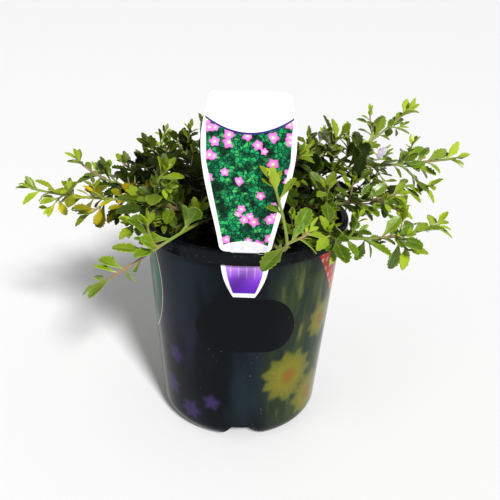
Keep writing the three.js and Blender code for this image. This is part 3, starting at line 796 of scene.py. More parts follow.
# Each blossom's place, radius and petals
YELLOW_BLOSSOMS = (
    (37, 52, 21, 11), (62, 27, 19, 10), (64, 88, 15, 9), (-160, 50, 20, 11), (-132, 30, 16, 10),
    (176, 34, 15, 9), (-140, 88, 12, 8),
)
VIOLET_BLOSSOMS = (
    (-38, 20, 8, 6), (-58, 34, 9, 6), (-50, 62, 7, 5), (-20, 32, 6, 5), (140, 24, 8, 6), (122, 48, 9, 6),
)
# Each green panel's middle, and each orange pennant's middle and half width at the rim
GREEN_PANELS = ((-97, 112), (160, 118))
GREEN_HALF_WIDTH = 40
GREEN_HALF_HEIGHT = 50
ORANGE_PANELS = ((94, 44), (-150, 26))
ORANGE_SLOPE = 0.7
# The plain dark panel: its middle, the half length of its straight stretch, its ends' radius and its bend
LABEL_MIDDLE = 3.4
LABEL_HEIGHT = 97
LABEL_STRAIGHT = 12.6
LABEL_RADIUS = 20
LABEL_BEND = 0.0045


def pot_finish():
    """Glossy near-black plastic with a soft print of leaves and blossoms round the wall."""
    finish = Finish("printed_pot_wall", Specular_IOR_Level=0.08)
    x, y, z = finish.parts(finish.place())
    up = finish.math("MULTIPLY", z, 1000.0)
    around = finish.math("MULTIPLY", finish.math("ARCTAN2", x, finish.math("MULTIPLY", y, -1.0)),
                         WALL_PRINT_RADIUS)

    def beside(centre):
        shifted = finish.math("SUBTRACT", around, centre)
        return finish.math("WRAP", shifted, HALF_ROUND, -HALF_ROUND)

    spot = finish.node("VectorMath", finish.place(), operation="SCALE")
    finish.put(spot.inputs["Scale"], 10.0)
    spot = spot.outputs[0]
    tall = finish.node("VectorMath", finish.place(), (28.0, 28.0, 7.0), operation="MULTIPLY").outputs[0]
    blur = finish.noise(tall, 1.0, 3.0, 0.55)
    base = finish.mix(finish.step(blur, 0.35, 0.7), colour(0x06090C), colour(0x17222A))
    # Purple haze low at the left, with soft violet blossoms, and olive leaves at the right
    haze = finish.both(finish.within(beside(-46), -30, 26, 16), finish.within(up, 16, 92, 26),
                       finish.step(blur, 0.42, 0.66))
    base = finish.mix(finish.math("MULTIPLY", haze, 0.55), base, colour(0x2A1E40))
    for cx, cy, radius, petals in VIOLET_BLOSSOMS:
        dy = finish.math("SUBTRACT", up, cy)
        inside, middle, reach = rosette(finish, beside(cx), dy, radius, petals, cx, 3.0)
        base = finish.mix(finish.math("MULTIPLY", inside, 0.5), base, colour(0x46346A))
    leaves = finish.noise(tall, 2.2, 3.0, 0.6)
    lawn = finish.mix(finish.step(leaves, 0.36, 0.68), colour(0x1E2A1C), colour(0x3E4A22))
    lawn = finish.mix(finish.step(finish.noise(tall, 5.0, 2.0), 0.56, 0.74), lawn, colour(0x5C602E))
    meadow = finish.both(finish.within(beside(58), -34, 40, 16), finish.within(up, 10, 138, 20))
    base = finish.mix(finish.math("MULTIPLY", meadow, 0.8), base, lawn)
    ragged = finish.noise(spot, 9.0, 2.0, 0.6)
    for cx, cy, radius, petals in YELLOW_BLOSSOMS:
        dx = finish.math("MULTIPLY_ADD", ragged, 7.0, beside(cx + 3.5))
        dy = finish.math("MULTIPLY_ADD", ragged, -5.0, finish.math("SUBTRACT", up, cy - 2.5))
        inside, middle, reach = rosette(finish, dx, dy, radius, petals, cx, 2.4, 0.09)
        spread = finish.math("DIVIDE", reach, radius, clamp=True)
        rays = finish.math("COSINE", finish.math("MULTIPLY", finish.math("ARCTAN2", dy, dx), 2.0 * petals))
        shade = finish.ramp(finish.math("MULTIPLY_ADD", rays, 0.06, spread), (0.1, colour(0x6A5A1A)),
                            (0.45, colour(0x746E22)), (0.9, colour(0x585C22)))
        base = finish.mix(finish.math("MULTIPLY", inside, 0.85), base, shade)
        base = finish.mix(finish.math("MULTIPLY", middle, 0.5), base, colour(0x8A4E1C))
    # Bottle-green panels with round sides and a thin pale and red edge
    for cx, cy in GREEN_PANELS:
        wide = finish.math("DIVIDE", beside(cx), GREEN_HALF_WIDTH)
        high = finish.math("DIVIDE", finish.math("SUBTRACT", up, cy), GREEN_HALF_HEIGHT)
        oval = finish.math("SQRT", finish.math("ADD", finish.both(wide, wide), finish.both(high, high)))
        shade = finish.mix(finish.step(blur, 0.35, 0.7), colour(0x042A1E), colour(0x0F6446))
        base = finish.mix(finish.inverse(finish.step(oval, 0.985, 1.0)), base, shade)
        base = finish.mix(finish.within(oval, 0.95, 0.965, 0.006), base, colour(0xC9C6BC))
        base = finish.mix(finish.within(oval, 0.97, 1.0, 0.006), base, colour(0x4A1512))
    # Orange-red pennants that hang from the rim, with rows of pale dots
    for cx, half in ORANGE_PANELS:
        slope = finish.math("MULTIPLY_ADD", finish.math("SUBTRACT", PRINT_TOP - 2, up), -ORANGE_SLOPE, half)
        inset = finish.math("SUBTRACT", slope, finish.math("ABSOLUTE", beside(cx)))
        dots = finish.cells(finish.join(finish.math("MULTIPLY", beside(cx), 0.2),
                                        finish.math("MULTIPLY", up, 0.15)), 1.0, dimensions="2D")
        dots.inputs["Randomness"].default_value = 0.2
        pale = finish.math("LESS_THAN", dots.outputs["Distance"], 0.27)
        fire = finish.mix(finish.math("MULTIPLY", pale, 0.6), colour(0xA82408), colour(0xB8A49C))
        base = finish.mix(finish.step(inset, -0.3, 0.3), base, fire)
    # Plain dark panel with round ends at the front
    aside = beside(LABEL_MIDDLE)
    far = finish.math("SUBTRACT", finish.math("ABSOLUTE", aside), LABEL_STRAIGHT)
    far = finish.math("MAXIMUM", far, 0.0)
    level = finish.math("SUBTRACT", up, LABEL_HEIGHT)
    rise = finish.math("MULTIPLY_ADD", finish.both(aside, aside), LABEL_BEND, level)
    oval = finish.math("SQRT", finish.math("ADD", finish.both(far, far), finish.both(rise, rise)))
    label = finish.step(finish.math("SUBTRACT", LABEL_RADIUS, oval), -0.15, 0.15)
    base = finish.mix(label, base, colour(0x05080A))
    # The print ends below the rim, and dust lies on the whole
    worn = finish.step(finish.noise(spot, 30.0, 4.0, 0.7), 0.56, 0.7)
    scuffs = finish.both(finish.step(up, PRINT_TOP, PRINT_TOP + 1), worn)
    printed = finish.both(finish.step(up, PRINT_BOTTOM, PRINT_BOTTOM + 2),
                          finish.inverse(finish.step(up, PRINT_TOP - 0.2, PRINT_TOP + 0.6)))
    base = finish.mix(printed, colour(0x0B0E11), base)
    base = finish.mix(finish.math("MULTIPLY", scuffs, 0.35), base, colour(0x3E4448))
    specks = finish.cells(finish.place(), 260.0)
    dust = finish.both(finish.math("LESS_THAN", specks.outputs["Distance"], 0.09),
                       finish.step(finish.noise(finish.place(), 25.0), 0.5, 0.62))
    base = finish.mix(finish.math("MULTIPLY", dust, 0.35), base, colour(0x8A857C))
    finish.set("Base Color", base)
    haze = finish.noise(finish.place(), 45.0, 4.0)
    matt = finish.math("MULTIPLY", label, 0.12)
    finish.set("Roughness", finish.math("ADD", finish.math("MULTIPLY_ADD", haze, 0.1, 0.06), matt))
    finish.relief(finish.noise(finish.place(), 30.0, 1.0), 0.12, 0.0006)
    return finish.material


# The print on the tag, in millimetres across it and up from the rim's top. The picture's border has its
# half widths at its widest and at the rim's height, and its lean. Its curved top has its lowest point and
# its rise, and its curved foot its highest point, its drop and how far aside that is reached. The print
# on the barb has its half width at the rim's height and how much narrower it is at the tip.

PICTURE_HALF_WIDTH = 22.9
PICTURE_FOOT_HALF_WIDTH = 12
PICTURE_LEAN = 0.195
PICTURE_TOP = 71.8
PICTURE_RISE = 8.4
PICTURE_FOOT = 7.4
PICTURE_FOOT_DROP = 2.8
PICTURE_FOOT_REACH = 13
BARB_PRINT_HALF_WIDTH = 11.9
BARB_PRINT_NARROWING = 6.4


def tag_finish():
    """The printed face of the tag: a bare header, a picture of foliage and blossom, and a violet barb."""
    finish = Finish("printed_tag_face", Roughness=0.3, Specular_IOR_Level=0.1)
    x, y, z = finish.parts(finish.place())
    across = finish.math("MULTIPLY_ADD", x, 1000.0, -TAG_MIDDLE)
    up = finish.math("MULTIPLY", finish.math("SUBTRACT", z, POT_HEIGHT * MM), 1000 / math.cos(tag_lean()))
    white = colour(0xE4E4E8)
    flat = finish.join(across, up)
    # The foliage: leaf-sized cells in three greens with dark gaps
    bend = finish.noise(flat, 0.35, 2.0)
    warped = finish.join(finish.math("MULTIPLY_ADD", bend, 2.4, across),
                         finish.math("MULTIPLY_ADD", bend, 1.8, up))
    cells = finish.cells(warped, 0.42, dimensions="2D")
    tone = finish.math("MULTIPLY_ADD", finish.parts(cells.outputs["Color"])[0], 0.5,
                       finish.math("MULTIPLY_ADD", finish.noise(flat, 0.5, 4.0, 0.7), 1.3, -0.42))
    foliage = finish.ramp(tone, (0.0, colour(0x021811)), (0.3, colour(0x064A30)), (0.6, colour(0x12985A)),
                          (0.95, colour(0x62C45A)))
    gap = finish.cells(warped, 0.42, feature="DISTANCE_TO_EDGE", dimensions="2D")
    foliage = finish.mix(finish.step(gap.outputs["Distance"], 0.0, 0.16), colour(0x02100C), foliage)
    depth = finish.step(finish.noise(flat, 0.09, 2.0), 0.45, 0.62)
    foliage = finish.mix(finish.math("MULTIPLY", depth, 0.9), foliage, colour(0x02130F))
    # Pink blossoms of five round petals, one in each wide cell that the draw picks
    for scale, shift, share in ((0.115, 0.0, 0.45), (0.15, 37.0, 0.78)):
        moved = finish.join(finish.math("ADD", across, shift), finish.math("ADD", up, shift))
        wide = finish.cells(moved, scale, dimensions="2D")
        wide.inputs["Randomness"].default_value = 0.95
        cx, cy = finish.parts(wide.outputs["Position"])[:2]
        mx, my = finish.parts(moved)[:2]
        pick_one, turn, size = finish.parts(wide.outputs["Color"])
        inside, middle, reach = rosette(
            finish, finish.math("SUBTRACT", mx, cx), finish.math("SUBTRACT", my, cy),
            finish.math("MULTIPLY_ADD", size, 1.2, 0.29 / scale), 5, finish.math("MULTIPLY", turn, 6.0), 0.25)
        shown = finish.math("GREATER_THAN", pick_one, share)
        pink = finish.mix(finish.math("MULTIPLY", reach, 0.3, clamp=True), colour(0xE9A0DC), colour(0xCC55B4))
        foliage = finish.mix(finish.both(inside, shown), foliage, pink)
        foliage = finish.mix(finish.both(middle, shown), foliage, colour(0xE9DFA0))
    # The picture's border, which narrows downwards, and its curved top and foot
    half = finish.math("MULTIPLY_ADD", up, PICTURE_LEAN, PICTURE_FOOT_HALF_WIDTH)
    half = finish.math("MINIMUM", half, PICTURE_HALF_WIDTH)
    inset = finish.math("SUBTRACT", half, finish.math("ABSOLUTE", across))
    arc = finish.math("MULTIPLY_ADD", finish.both(across, across), PICTURE_RISE / PICTURE_HALF_WIDTH**2,
                      PICTURE_TOP)
    below = finish.math("SUBTRACT", arc, up)
    foot = finish.math("MULTIPLY_ADD", finish.both(across, across),
                       -PICTURE_FOOT_DROP / PICTURE_FOOT_REACH**2, PICTURE_FOOT)
    above = finish.math("SUBTRACT", up, foot)
    picture = finish.both(finish.step(inset, -0.15, 0.15), finish.step(below, -0.15, 0.15),
                          finish.step(above, -0.15, 0.15))
    base = finish.mix(picture, white, foliage)
    line = finish.both(finish.within(below, -0.9, 0.25, 0.12), finish.step(inset, -0.6, -0.2))
    base = finish.mix(line, base, colour(0x2C2470))
    # The pale fluted foot and the violet barb
    flute = finish.math("SINE", finish.math("MULTIPLY", across, 0.95))
    fluted = finish.mix(finish.math("MULTIPLY_ADD", flute, 0.5, 0.5), colour(0xCCC8E2), colour(0xE4E1F2))
    foot_mask = finish.both(finish.inverse(finish.step(above, -0.6, -0.3)),
                            finish.step(finish.math("ADD", inset, 0.6), -0.3, 0.3), finish.step(up, 1.2, 1.6))
    base = finish.mix(foot_mask, base, fluted)
    narrowing = finish.math("POWER", finish.math("MULTIPLY", up, -0.0323), 2.2)
    barb_half = finish.math("MULTIPLY_ADD", narrowing, -BARB_PRINT_NARROWING, BARB_PRINT_HALF_WIDTH)
    barb_inset = finish.math("SUBTRACT", barb_half, finish.math("ABSOLUTE", across))
    barb = finish.both(finish.step(barb_inset, -0.15, 0.15), finish.step(up, BARB_TIP + 2.6, BARB_TIP + 2.9),
                       finish.math("LESS_THAN", up, BARB_TOP))
    violet = finish.ramp(finish.step(up, -28, -8), (0.0, colour(0x54209C)), (0.5, colour(0x7A38BE)),
                         (0.85, colour(0x9C66CC)), (1.0, colour(0xB488D6)))
    lines = finish.both(finish.step(finish.math("SINE", finish.math("MULTIPLY", across, 1.3)), 0.7, 1.0),
                        finish.step(up, -20, -12))
    violet = finish.mix(finish.math("MULTIPLY", lines, 0.35), violet, colour(0xDCD2F2))
    base = finish.mix(barb, base, violet)
    finish.set("Base Color", base)
    finish.relief(finish.noise(finish.place(), 120.0, 2.0), 0.05, 0.0003)
    return finish.material


def plain_tag_finish():
    """The bare white plastic of the tag's back and edges."""
    finish = Finish("white_tag_back", Roughness=0.35, Specular_IOR_Level=0.5)
    haze = finish.noise(finish.place(), 60.0, 3.0)
    finish.set("Base Color", finish.mix(haze, colour(0xDCDCDF), colour(0xE6E6E9)))
    finish.relief(finish.noise(finish.place(), 200.0, 2.0), 0.05, 0.0003)
    return finish.material


def soil_finish():
    """Damp dark bark in chips of several browns."""
    finish = Finish("damp_bark_mix", Roughness=0.9, Specular_IOR_Level=0.25)
    spot = finish.place()
    chips = finish.cells(spot, 190.0)
    tone = finish.parts(chips.outputs["Color"])[0]
    base = finish.ramp(tone, (0.0, colour(0x17110D)), (0.5, colour(0x2A1E16)), (0.85, colour(0x40301F)),
                       (1.0, colour(0x6A553C)))
    base = finish.mix(finish.math("MULTIPLY", finish.noise(spot, 60.0, 3.0), 0.6), base, colour(0x120D0A))
    finish.set("Base Color", base)
    finish.set("Roughness", finish.math("MULTIPLY_ADD", finish.noise(spot, 150.0, 2.0), 0.3, 0.65))
    height = finish.math("ADD", chips.outputs["Distance"], finish.noise(spot, 420.0, 4.0))
    finish.relief(height, 0.9, 0.0018)
    return finish.material


# What each leaf carries as point attributes, which its finish reads: how dark it is (painted shade in the
# plant's heart, and a random darkening), how young and how yellow
TINTS = ("shade", "youth", "yellow")


def leaf_finish(settings, name, gloss):
    """Fleshy leaves: young ones bright, old ones a deeper green, some turning yellow and orange, and those in
    the plant's heart painted dark as shade.
    """
    finish = Finish(name, Specular_IOR_Level=gloss, Coat_Weight=0.15 * gloss, Coat_Roughness=0.12,
                    Subsurface_Weight=0.08, Subsurface_Scale=0.0012, Subsurface_Radius=(0.6, 1.0, 0.2))
    along, across = finish.parts(finish.node("UVMap", uv_map="UVMap").outputs[0])[:2]
    spot = finish.place()
    shade, youth, yellow = (finish.attribute(key) for key in TINTS)
    side = finish.math("ABSOLUTE", finish.math("SUBTRACT", across, 0.5))
    old, young = tuple(settings.old_leaf), tuple(settings.young_leaf)
    base = finish.mix(youth, old, young)
    mottle = finish.noise(spot, 320.0, 3.0)
    base = finish.mix(finish.math("MULTIPLY", finish.step(mottle, 0.45, 0.8), 0.3), base, young)
    base = finish.mix(finish.math("MULTIPLY", finish.step(side, 0.34, 0.48), 0.4), base, young)
    slanted = finish.math("MULTIPLY_ADD", side, -0.8, along)
    vein_wave = finish.math("SINE", finish.math("MULTIPLY", slanted, 62.0))
    veins = finish.both(finish.step(vein_wave, 0.86, 1.0), finish.step(along, 0.25, 0.4))
    rib = finish.inverse(finish.step(side, 0.012, 0.05))
    lines = finish.math("MAXIMUM", rib, finish.math("MULTIPLY", veins, 0.4))
    base = finish.mix(finish.math("MULTIPLY", lines, 0.4), base, colour(0xB4C66A))
    foot = finish.inverse(finish.step(along, 0.05, 0.4))
    base = finish.mix(finish.math("MULTIPLY", foot, 0.45), base, colour(0xA3B35A))
    # Painted shade: leaves deep in the plant's heart, and some others at random, are darkened towards a
    # near-black green
    base = finish.mix(finish.math("MULTIPLY", shade, 0.94), base, tuple(settings.deep_leaf))
    rusty = finish.ramp(finish.noise(spot, 75.0, 2.0), (0.3, colour(0xA6B428)), (0.48, colour(0xD2C81E)),
                        (0.66, colour(0xE4BE14)), (0.8, colour(0xD4641A)))
    base = finish.mix(yellow, base, rusty)
    finish.set("Base Color", base)
    finish.set("Roughness", finish.math("MULTIPLY_ADD", finish.noise(spot, 140.0, 2.0), 0.22, 0.22))
    height = finish.math("SUBTRACT", finish.math("MULTIPLY", mottle, 0.5),
                         finish.math("MAXIMUM", rib, finish.math("MULTIPLY", veins, 0.6)))
    finish.relief(height, 0.35, 0.0005)
    return finish.material


def stem_finish(settings):
    """Stems that are olive with a brown-pink blush, and dark brown near the pot's axis: woody there, and
    darkened further as painted shade in the plant's heart.
    """
    finish = Finish("green_brown_stem", Roughness=0.5, Specular_IOR_Level=0.45)
    spot = finish.place()
    x, y = finish.parts(spot)[:2]
    reach = finish.math("SQRT", finish.math("ADD", finish.both(x, x), finish.both(y, y)))
    # Woody brown near the pot's axis, made darker there as painted shade of the plant's heart
    woody_and_shaded = finish.inverse(finish.step(reach, 0.035, 0.07))
    blush = finish.step(finish.noise(spot, 26.0, 2.0), 0.4, 0.62)
    base = finish.mix(blush, colour(0x748C2C), tuple(settings.stem_blush))
    base = finish.mix(finish.math("MULTIPLY", woody_and_shaded, 0.88), base, colour(0x2E2618))
    base = finish.mix(finish.math("MULTIPLY", finish.noise(spot, 500.0, 2.0), 0.3), base, colour(0x5C4A30))
    finish.set("Base Color", base)
    finish.relief(finish.noise(spot, 650.0, 3.0), 0.4, 0.0004)
    return finish.material


def petal_finish(settings):
    """Pale petals, streaked along their length, with a yellow throat."""
    finish = Finish("pale_petal", Roughness=0.55, Specular_IOR_Level=0.3, Subsurface_Weight=0.2,
                    Subsurface_Scale=0.001, Subsurface_Radius=(1.0, 0.8, 1.0))
    along, across = finish.parts(finish.node("UVMap", uv_map="UVMap").outputs[0])[:2]
    drawn_out = finish.join(finish.math("MULTIPLY", along, 2.0), finish.math("MULTIPLY", across, 26.0))
    streak = finish.noise(drawn_out, 1.0, 2.0)
    base = finish.mix(streak, tuple(settings.petal), colour(0xF4EFF8))
    edge = finish.step(finish.math("ABSOLUTE", finish.math("SUBTRACT", across, 0.5)), 0.25, 0.5)
    base = finish.mix(finish.math("MULTIPLY", edge, 0.35), base, colour(0xFAF8FC))
    throat = finish.inverse(finish.step(along, 0.1, 0.3))
    base = finish.mix(finish.math("MULTIPLY", throat, 0.8), base, colour(0xD9C86A))
    finish.set("Base Color", base)
    finish.relief(streak, 0.3, 0.0002)
    return finish.material


# Settings


def tint(name, code, description):
    """A colour setting."""
    return bpy.props.FloatVectorProperty(
        name=name, description=description, size=3, subtype="COLOR", default=colour(code), min=0, max=1)


class PotSettings(bpy.types.PropertyGroup):
    sides: bpy.props.IntProperty(
        name="Sides", description="How many sides the turned wall has", default=128, min=32, max=256)
    rim_radius: bpy.props.FloatProperty(
        name="Rim radius", description="Outer radius of the rim", default=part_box("pot")[1].x,
        unit="LENGTH", subtype="DISTANCE")


class MixSettings(bpy.types.PropertyGroup):
    bark_bits: bpy.props.IntProperty(
        name="Bark bits", description="Loose bits of bark on top of the mix", default=170, min=0, max=400)


class ShootSettings(bpy.types.PropertyGroup):
    sprigs: bpy.props.IntProperty(
        name="Sprigs", description="Short leafy sprigs that fill each shoot out", default=8, min=0, max=12)
    old_leaf: tint("Old leaf", 0x426808, "Colour of grown leaves")
    young_leaf: tint("Young leaf", 0xA0B81C, "Colour of young leaves")
    # Painted shade takes the leaves in the plant's heart towards this colour, as does a random darkening
    deep_leaf: tint("Deep leaf", 0x040E03, "Colour that the darkest leaves go towards")
    stem_blush: tint("Stem blush", 0x9A7A5A, "Brown-pink colour of the older stems")


class BloomSettings(bpy.types.PropertyGroup):
    petal: tint("Petal", 0xD9CBEC, "Colour of the petals")


class StageSettings(bpy.types.PropertyGroup):
    key_power: bpy.props.FloatProperty(
        name="Key light", description="Strength of the main light", default=4.1, min=0)
    sky: bpy.props.FloatProperty(
        name="Sky", description="Strength of the light from all round", default=0.3, min=0)
    lens: bpy.props.FloatProperty(
        name="Lens", description="Focal length of the camera", default=47.9, unit="CAMERA")


# Operators


class Maker:
    """What the operators share."""

    bl_options = {"REGISTER", "UNDO"}


def carry(piece, slot, *nodes):
    """Seats a finished piece on the root body, in place of its solids."""
    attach(piece, "root")
    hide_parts(*nodes)


def corner_points(radius, inset, steps=10):
    """The rounded foot of the pot's profile, at an inset from its outside."""
    points = []
    for i in range(steps + 1):
        angle = radians(CORNER_ANGLE) * i / steps
        points.append((FOOT_RADIUS + radius * math.sin(angle), inset + radius - radius * math.cos(angle)))
    return points


def foot_wedges(grow, name):
    """Wedge-shaped cutters for the recesses in the foot, one for each side."""
    wedges = []
    inner = NOTCH_INNER_RADIUS - grow
    height, half = NOTCH_HEIGHT + grow, NOTCH_HALF_WIDTH + grow
    for quarter in range(4):
        clear_selection()
        bpy.ops.mesh.primitive_cube_add(size=1)
        wedge = started(name)
        bpy.ops.transform.resize(value=(2 * half * MM, (RIM_RADIUS - inner) * MM, (height + 1) * MM))
        bpy.ops.transform.translate(
            value=(0, -(RIM_RADIUS + inner) / 2 * MM, (height - 1) / 2 * MM))
        pick(wedge, lambda corner: corner.co.z < 0)
        bpy.ops.transform.resize(value=((half + NOTCH_SPREAD) / half, 1, 1), center_override=(0, 0, 0))
        bpy.ops.object.mode_set(mode="OBJECT")
        wedge.rotation_euler.z = quarter * math.pi / 2 + radians(NOTCH_TURN)
        wedges.append(done(wedge))
    return join(name, wedges)


class PLANT_OT_pot(Maker, bpy.types.Operator):
    """Turns the pot, cuts its foot, its drain holes and the tag's slot, and prints its wall"""

    bl_idname = "plant.pot"
    bl_label = "Pot"

    def execute(self, context):
        settings = context.scene.plant_pot
        rim = settings.rim_radius / MM
        skirt_inner = rim - SKIRT_THICKNESS
        skirt_bottom = POT_HEIGHT - SKIRT_HEIGHT
        flange = POT_HEIGHT - FLANGE_THICKNESS
        outside = [(36, 0), *corner_points(CORNER_RADIUS, 0)]
        outside += [(wall_radius(z), z) for z in (20, 60, 100)]
        outside += [
            (WALL_TOP_RADIUS, skirt_bottom), (wall_radius(flange), flange), (skirt_inner, flange),
            (skirt_inner, skirt_bottom + 0.2), (skirt_inner + 0.2, skirt_bottom), (rim - 0.2, skirt_bottom),
            (rim, skirt_bottom + 0.2), (rim, POT_HEIGHT - 0.9), (rim - 0.12, POT_HEIGHT - 0.4),
            (rim - 0.4, POT_HEIGHT - 0.1), (rim - 0.8, POT_HEIGHT), (66, POT_HEIGHT), (0, POT_HEIGHT),
        ]
        pot = turned("glossy_nursery_pot", outside, settings.sides)
        top = POT_HEIGHT + 5
        inside = turned("inside_of_pot", [
            (30, WALL_THICKNESS), *corner_points(CORNER_RADIUS - WALL_THICKNESS, WALL_THICKNESS),
            (wall_radius(top) - WALL_THICKNESS, top), (0, top)], settings.sides)
        cut(inside, foot_wedges(WALL_THICKNESS, "raised_foot"))
        cut(pot, foot_wedges(0, "foot_recess"))
        cut(pot, inside)
        for angle in (45, 135, 225, 315):
            clear_selection()
            bpy.ops.mesh.primitive_cylinder_add(
                vertices=24, radius=DRAIN_RADIUS * MM, depth=6 * MM,
                location=(DRAIN_CIRCLE * MM * math.cos(radians(angle)),
                          DRAIN_CIRCLE * MM * math.sin(radians(angle)), 0))
            cut(pot, bpy.context.object)
        clear_selection()
        bpy.ops.mesh.primitive_cube_add(size=1)
        slot = started("tag_slot")
        bpy.ops.transform.resize(value=(2 * (TAG_NECK_HALF_WIDTH + SLOT_PLAY) * MM, 6 * MM,
                                         (TAG_THICKNESS + 2 * GAP) * MM))
        bpy.ops.transform.translate(value=(0, 0, TAG_THICKNESS / 2 * MM))
        done(slot)
        slot.data.transform(tag_matrix())
        cut(pot, slot)
        pot.data.materials.append(pot_finish())
        bpy.ops.object.shade_smooth_by_angle(angle=radians(32))
        carry(pot, "pot", "pot")
        return {"FINISHED"}


def bark_masters():
    """Three rough bits of bark, about a unit long."""
    masters = []
    for number, size in enumerate(((1, 0.55, 0.3), (0.8, 0.7, 0.35), (1.2, 0.35, 0.25))):
        clear_selection()
        bpy.ops.mesh.primitive_cube_add(size=1)
        bit = started(f"bark_bit_{number}")
        bpy.ops.transform.resize(value=size)
        bpy.ops.mesh.subdivide(number_cuts=1)
        bpy.ops.transform.vertex_random(offset=0.12, uniform=0.6, normal=0.4, seed=number + 3)
        masters.append(done(bit, 40))
    return masters


class PLANT_OT_mix(Maker, bpy.types.Operator):
    """Fills the pot with potting mix and strews bits of bark over it"""

    bl_idname = "plant.mix"
    bl_label = "Potting mix"

    def execute(self, context):
        inset = WALL_THICKNESS + GAP
        edge = wall_radius(SOIL_HEIGHT) - inset
        crown = [(edge * share, SOIL_HEIGHT + SOIL_CROWN * (1 - share)) for share in np.linspace(1, 0.05, 20)]
        mix = turned("potting_mix", [
            (30, inset), *corner_points(CORNER_RADIUS - inset, inset, 5), *crown,
            (0, SOIL_HEIGHT + SOIL_CROWN),
        ], 96)
        cut(mix, foot_wedges(inset, "mix_recess"))
        top = mix.vertex_groups.new(name="top")
        low = (SOIL_HEIGHT - 0.5) * MM
        near = edge * 0.97 * MM
        top.add([v.index for v in mix.data.vertices
                 if v.co.z > low and math.hypot(v.co.x, v.co.y) < near], 1, "REPLACE")
        for kind, scale, strength in (("lumps", 9, 2.6), ("crumbs", 2.6, 1.6)):
            texture = bpy.data.textures.new(kind, "CLOUDS")
            texture.noise_scale, texture.noise_depth = scale * MM, 2
            modify(mix, "DISPLACE", texture=texture, strength=strength * MM, mid_level=0.5,
                   vertex_group="top", texture_coords="LOCAL", direction="Z")
        finish = soil_finish()
        mix.data.materials.append(finish)
        masters = bark_masters()
        bits = [mix]
        for i in range(context.scene.plant_mix.bark_bits):
            reach, angle = edge * 0.95 * math.sqrt(draw(i, 900)), 2 * math.pi * draw(i, 901)
            x, y = reach * math.cos(angle), reach * math.sin(angle)
            size = (2.5 + 5 * draw(i, 902) ** 2) * MM
            turn = Matrix.Rotation(6.28 * draw(i, 903), 4, "Z") @ Matrix.Rotation(draw(i, 904) - 0.5, 4, "X")
            height = SOIL_HEIGHT + SOIL_CROWN * (1 - reach / edge) + 0.5
            mesh = masters[i % 3].data.copy()
            mesh.transform(Matrix.Translation((x * MM, y * MM, height * MM)) @ turn @ Matrix.Scale(size, 4))
            bit = bpy.data.objects.new(f"bark_{i}", mesh)
            context.scene.collection.objects.link(bit)
            mesh.materials.clear()
            mesh.materials.append(finish)
            bits.append(bit)
        mix = join("potting_mix", bits)
        for master in masters:
            bpy.data.objects.remove(master)
        bpy.ops.object.shade_smooth_by_angle(angle=radians(50))
        carry(mix, "soil", "soil")
        return {"FINISHED"}


def bend_points(first, *controls, steps=7):
    """Points along a curve with one or two control points, without its first."""
    points = [np.array(p, float) for p in (first, *controls)]
    found = []
    for i in range(1, steps + 1):
        t = i / steps
        level = points
        while len(level) > 1:
            level = [a + (b - a) * t for a, b in zip(level, level[1:])]
        found.append(tuple(level[0]))
    return found


def tag_rows():
    """Half widths and heights down the tag's outline, from its top."""
    top, corner = TAG_TOP_HALF_WIDTH, TAG_TOP - TAG_CORNER
    wide, waist = TAG_HALF_WIDTH, TAG_WIDEST - 4
    shoulder, foot = TAG_SHOULDER_HALF_WIDTH, TAG_SHOULDER_HALF_WIDTH - TAG_CORNER
    barb_top, barb_middle = BARB_TOP - 0.05, (BARB_TOP + BARB_TIP) / 2
    rows = [(top - 6, TAG_TOP), (top - 4.4, TAG_TOP - 0.03)]
    rows += bend_points((top - TAG_CORNER, TAG_TOP), (top, TAG_TOP), (top, corner), steps=8)[1:]
    rows += bend_points((top, corner), (wide, TAG_TOP - 4 * TAG_CORNER), (wide, TAG_WIDEST), (wide, waist),
                        steps=8)
    rows += bend_points((wide, waist), (wide + 0.5, TAG_WIDEST - 22), (shoulder + 3, 24),
                        (shoulder, TAG_CORNER), steps=14)
    rows += bend_points((shoulder, TAG_CORNER), (shoulder - 0.5, GAP), (foot, GAP + 0.05), steps=6)
    rows += [(TAG_NECK_HALF_WIDTH, GAP), (TAG_NECK_HALF_WIDTH, BARB_TOP), (BARB_HALF_WIDTH, barb_top)]
    rows += bend_points((BARB_HALF_WIDTH, barb_top), (BARB_HALF_WIDTH - 0.6, barb_middle),
                        (BARB_TIP_HALF_WIDTH, BARB_TIP), steps=8)
    return rows


class PLANT_OT_tag(Maker, bpy.types.Operator):
    """Cuts the tag from sheet, gives it its thickness, and stands it in the rim's slot"""

    bl_idname = "plant.tag"
    bl_label = "Tag"

    def execute(self, context):
        rows = [(up * MM, 2 * half * MM, 1) for half, up in reversed(tag_rows())]
        tag = ribbon("printed_tag", rows, 8)
        tag.data.transform(Matrix.Rotation(math.pi / 2, 4, "Z"))
        modify(tag, "SOLIDIFY", thickness=TAG_THICKNESS * MM, offset=0)
        tag.data.transform(Matrix.Translation((0, 0, TAG_THICKNESS / 2 * MM)))
        tag.data.transform(tag_matrix())
        tag.data.materials.append(plain_tag_finish())
        tag.data.materials.append(tag_finish())
        for face in tag.data.polygons:
            face.material_index = 1 if face.normal.y < -0.7 else 0
        carry(tag, "tag", "tag")
        return {"FINISHED"}


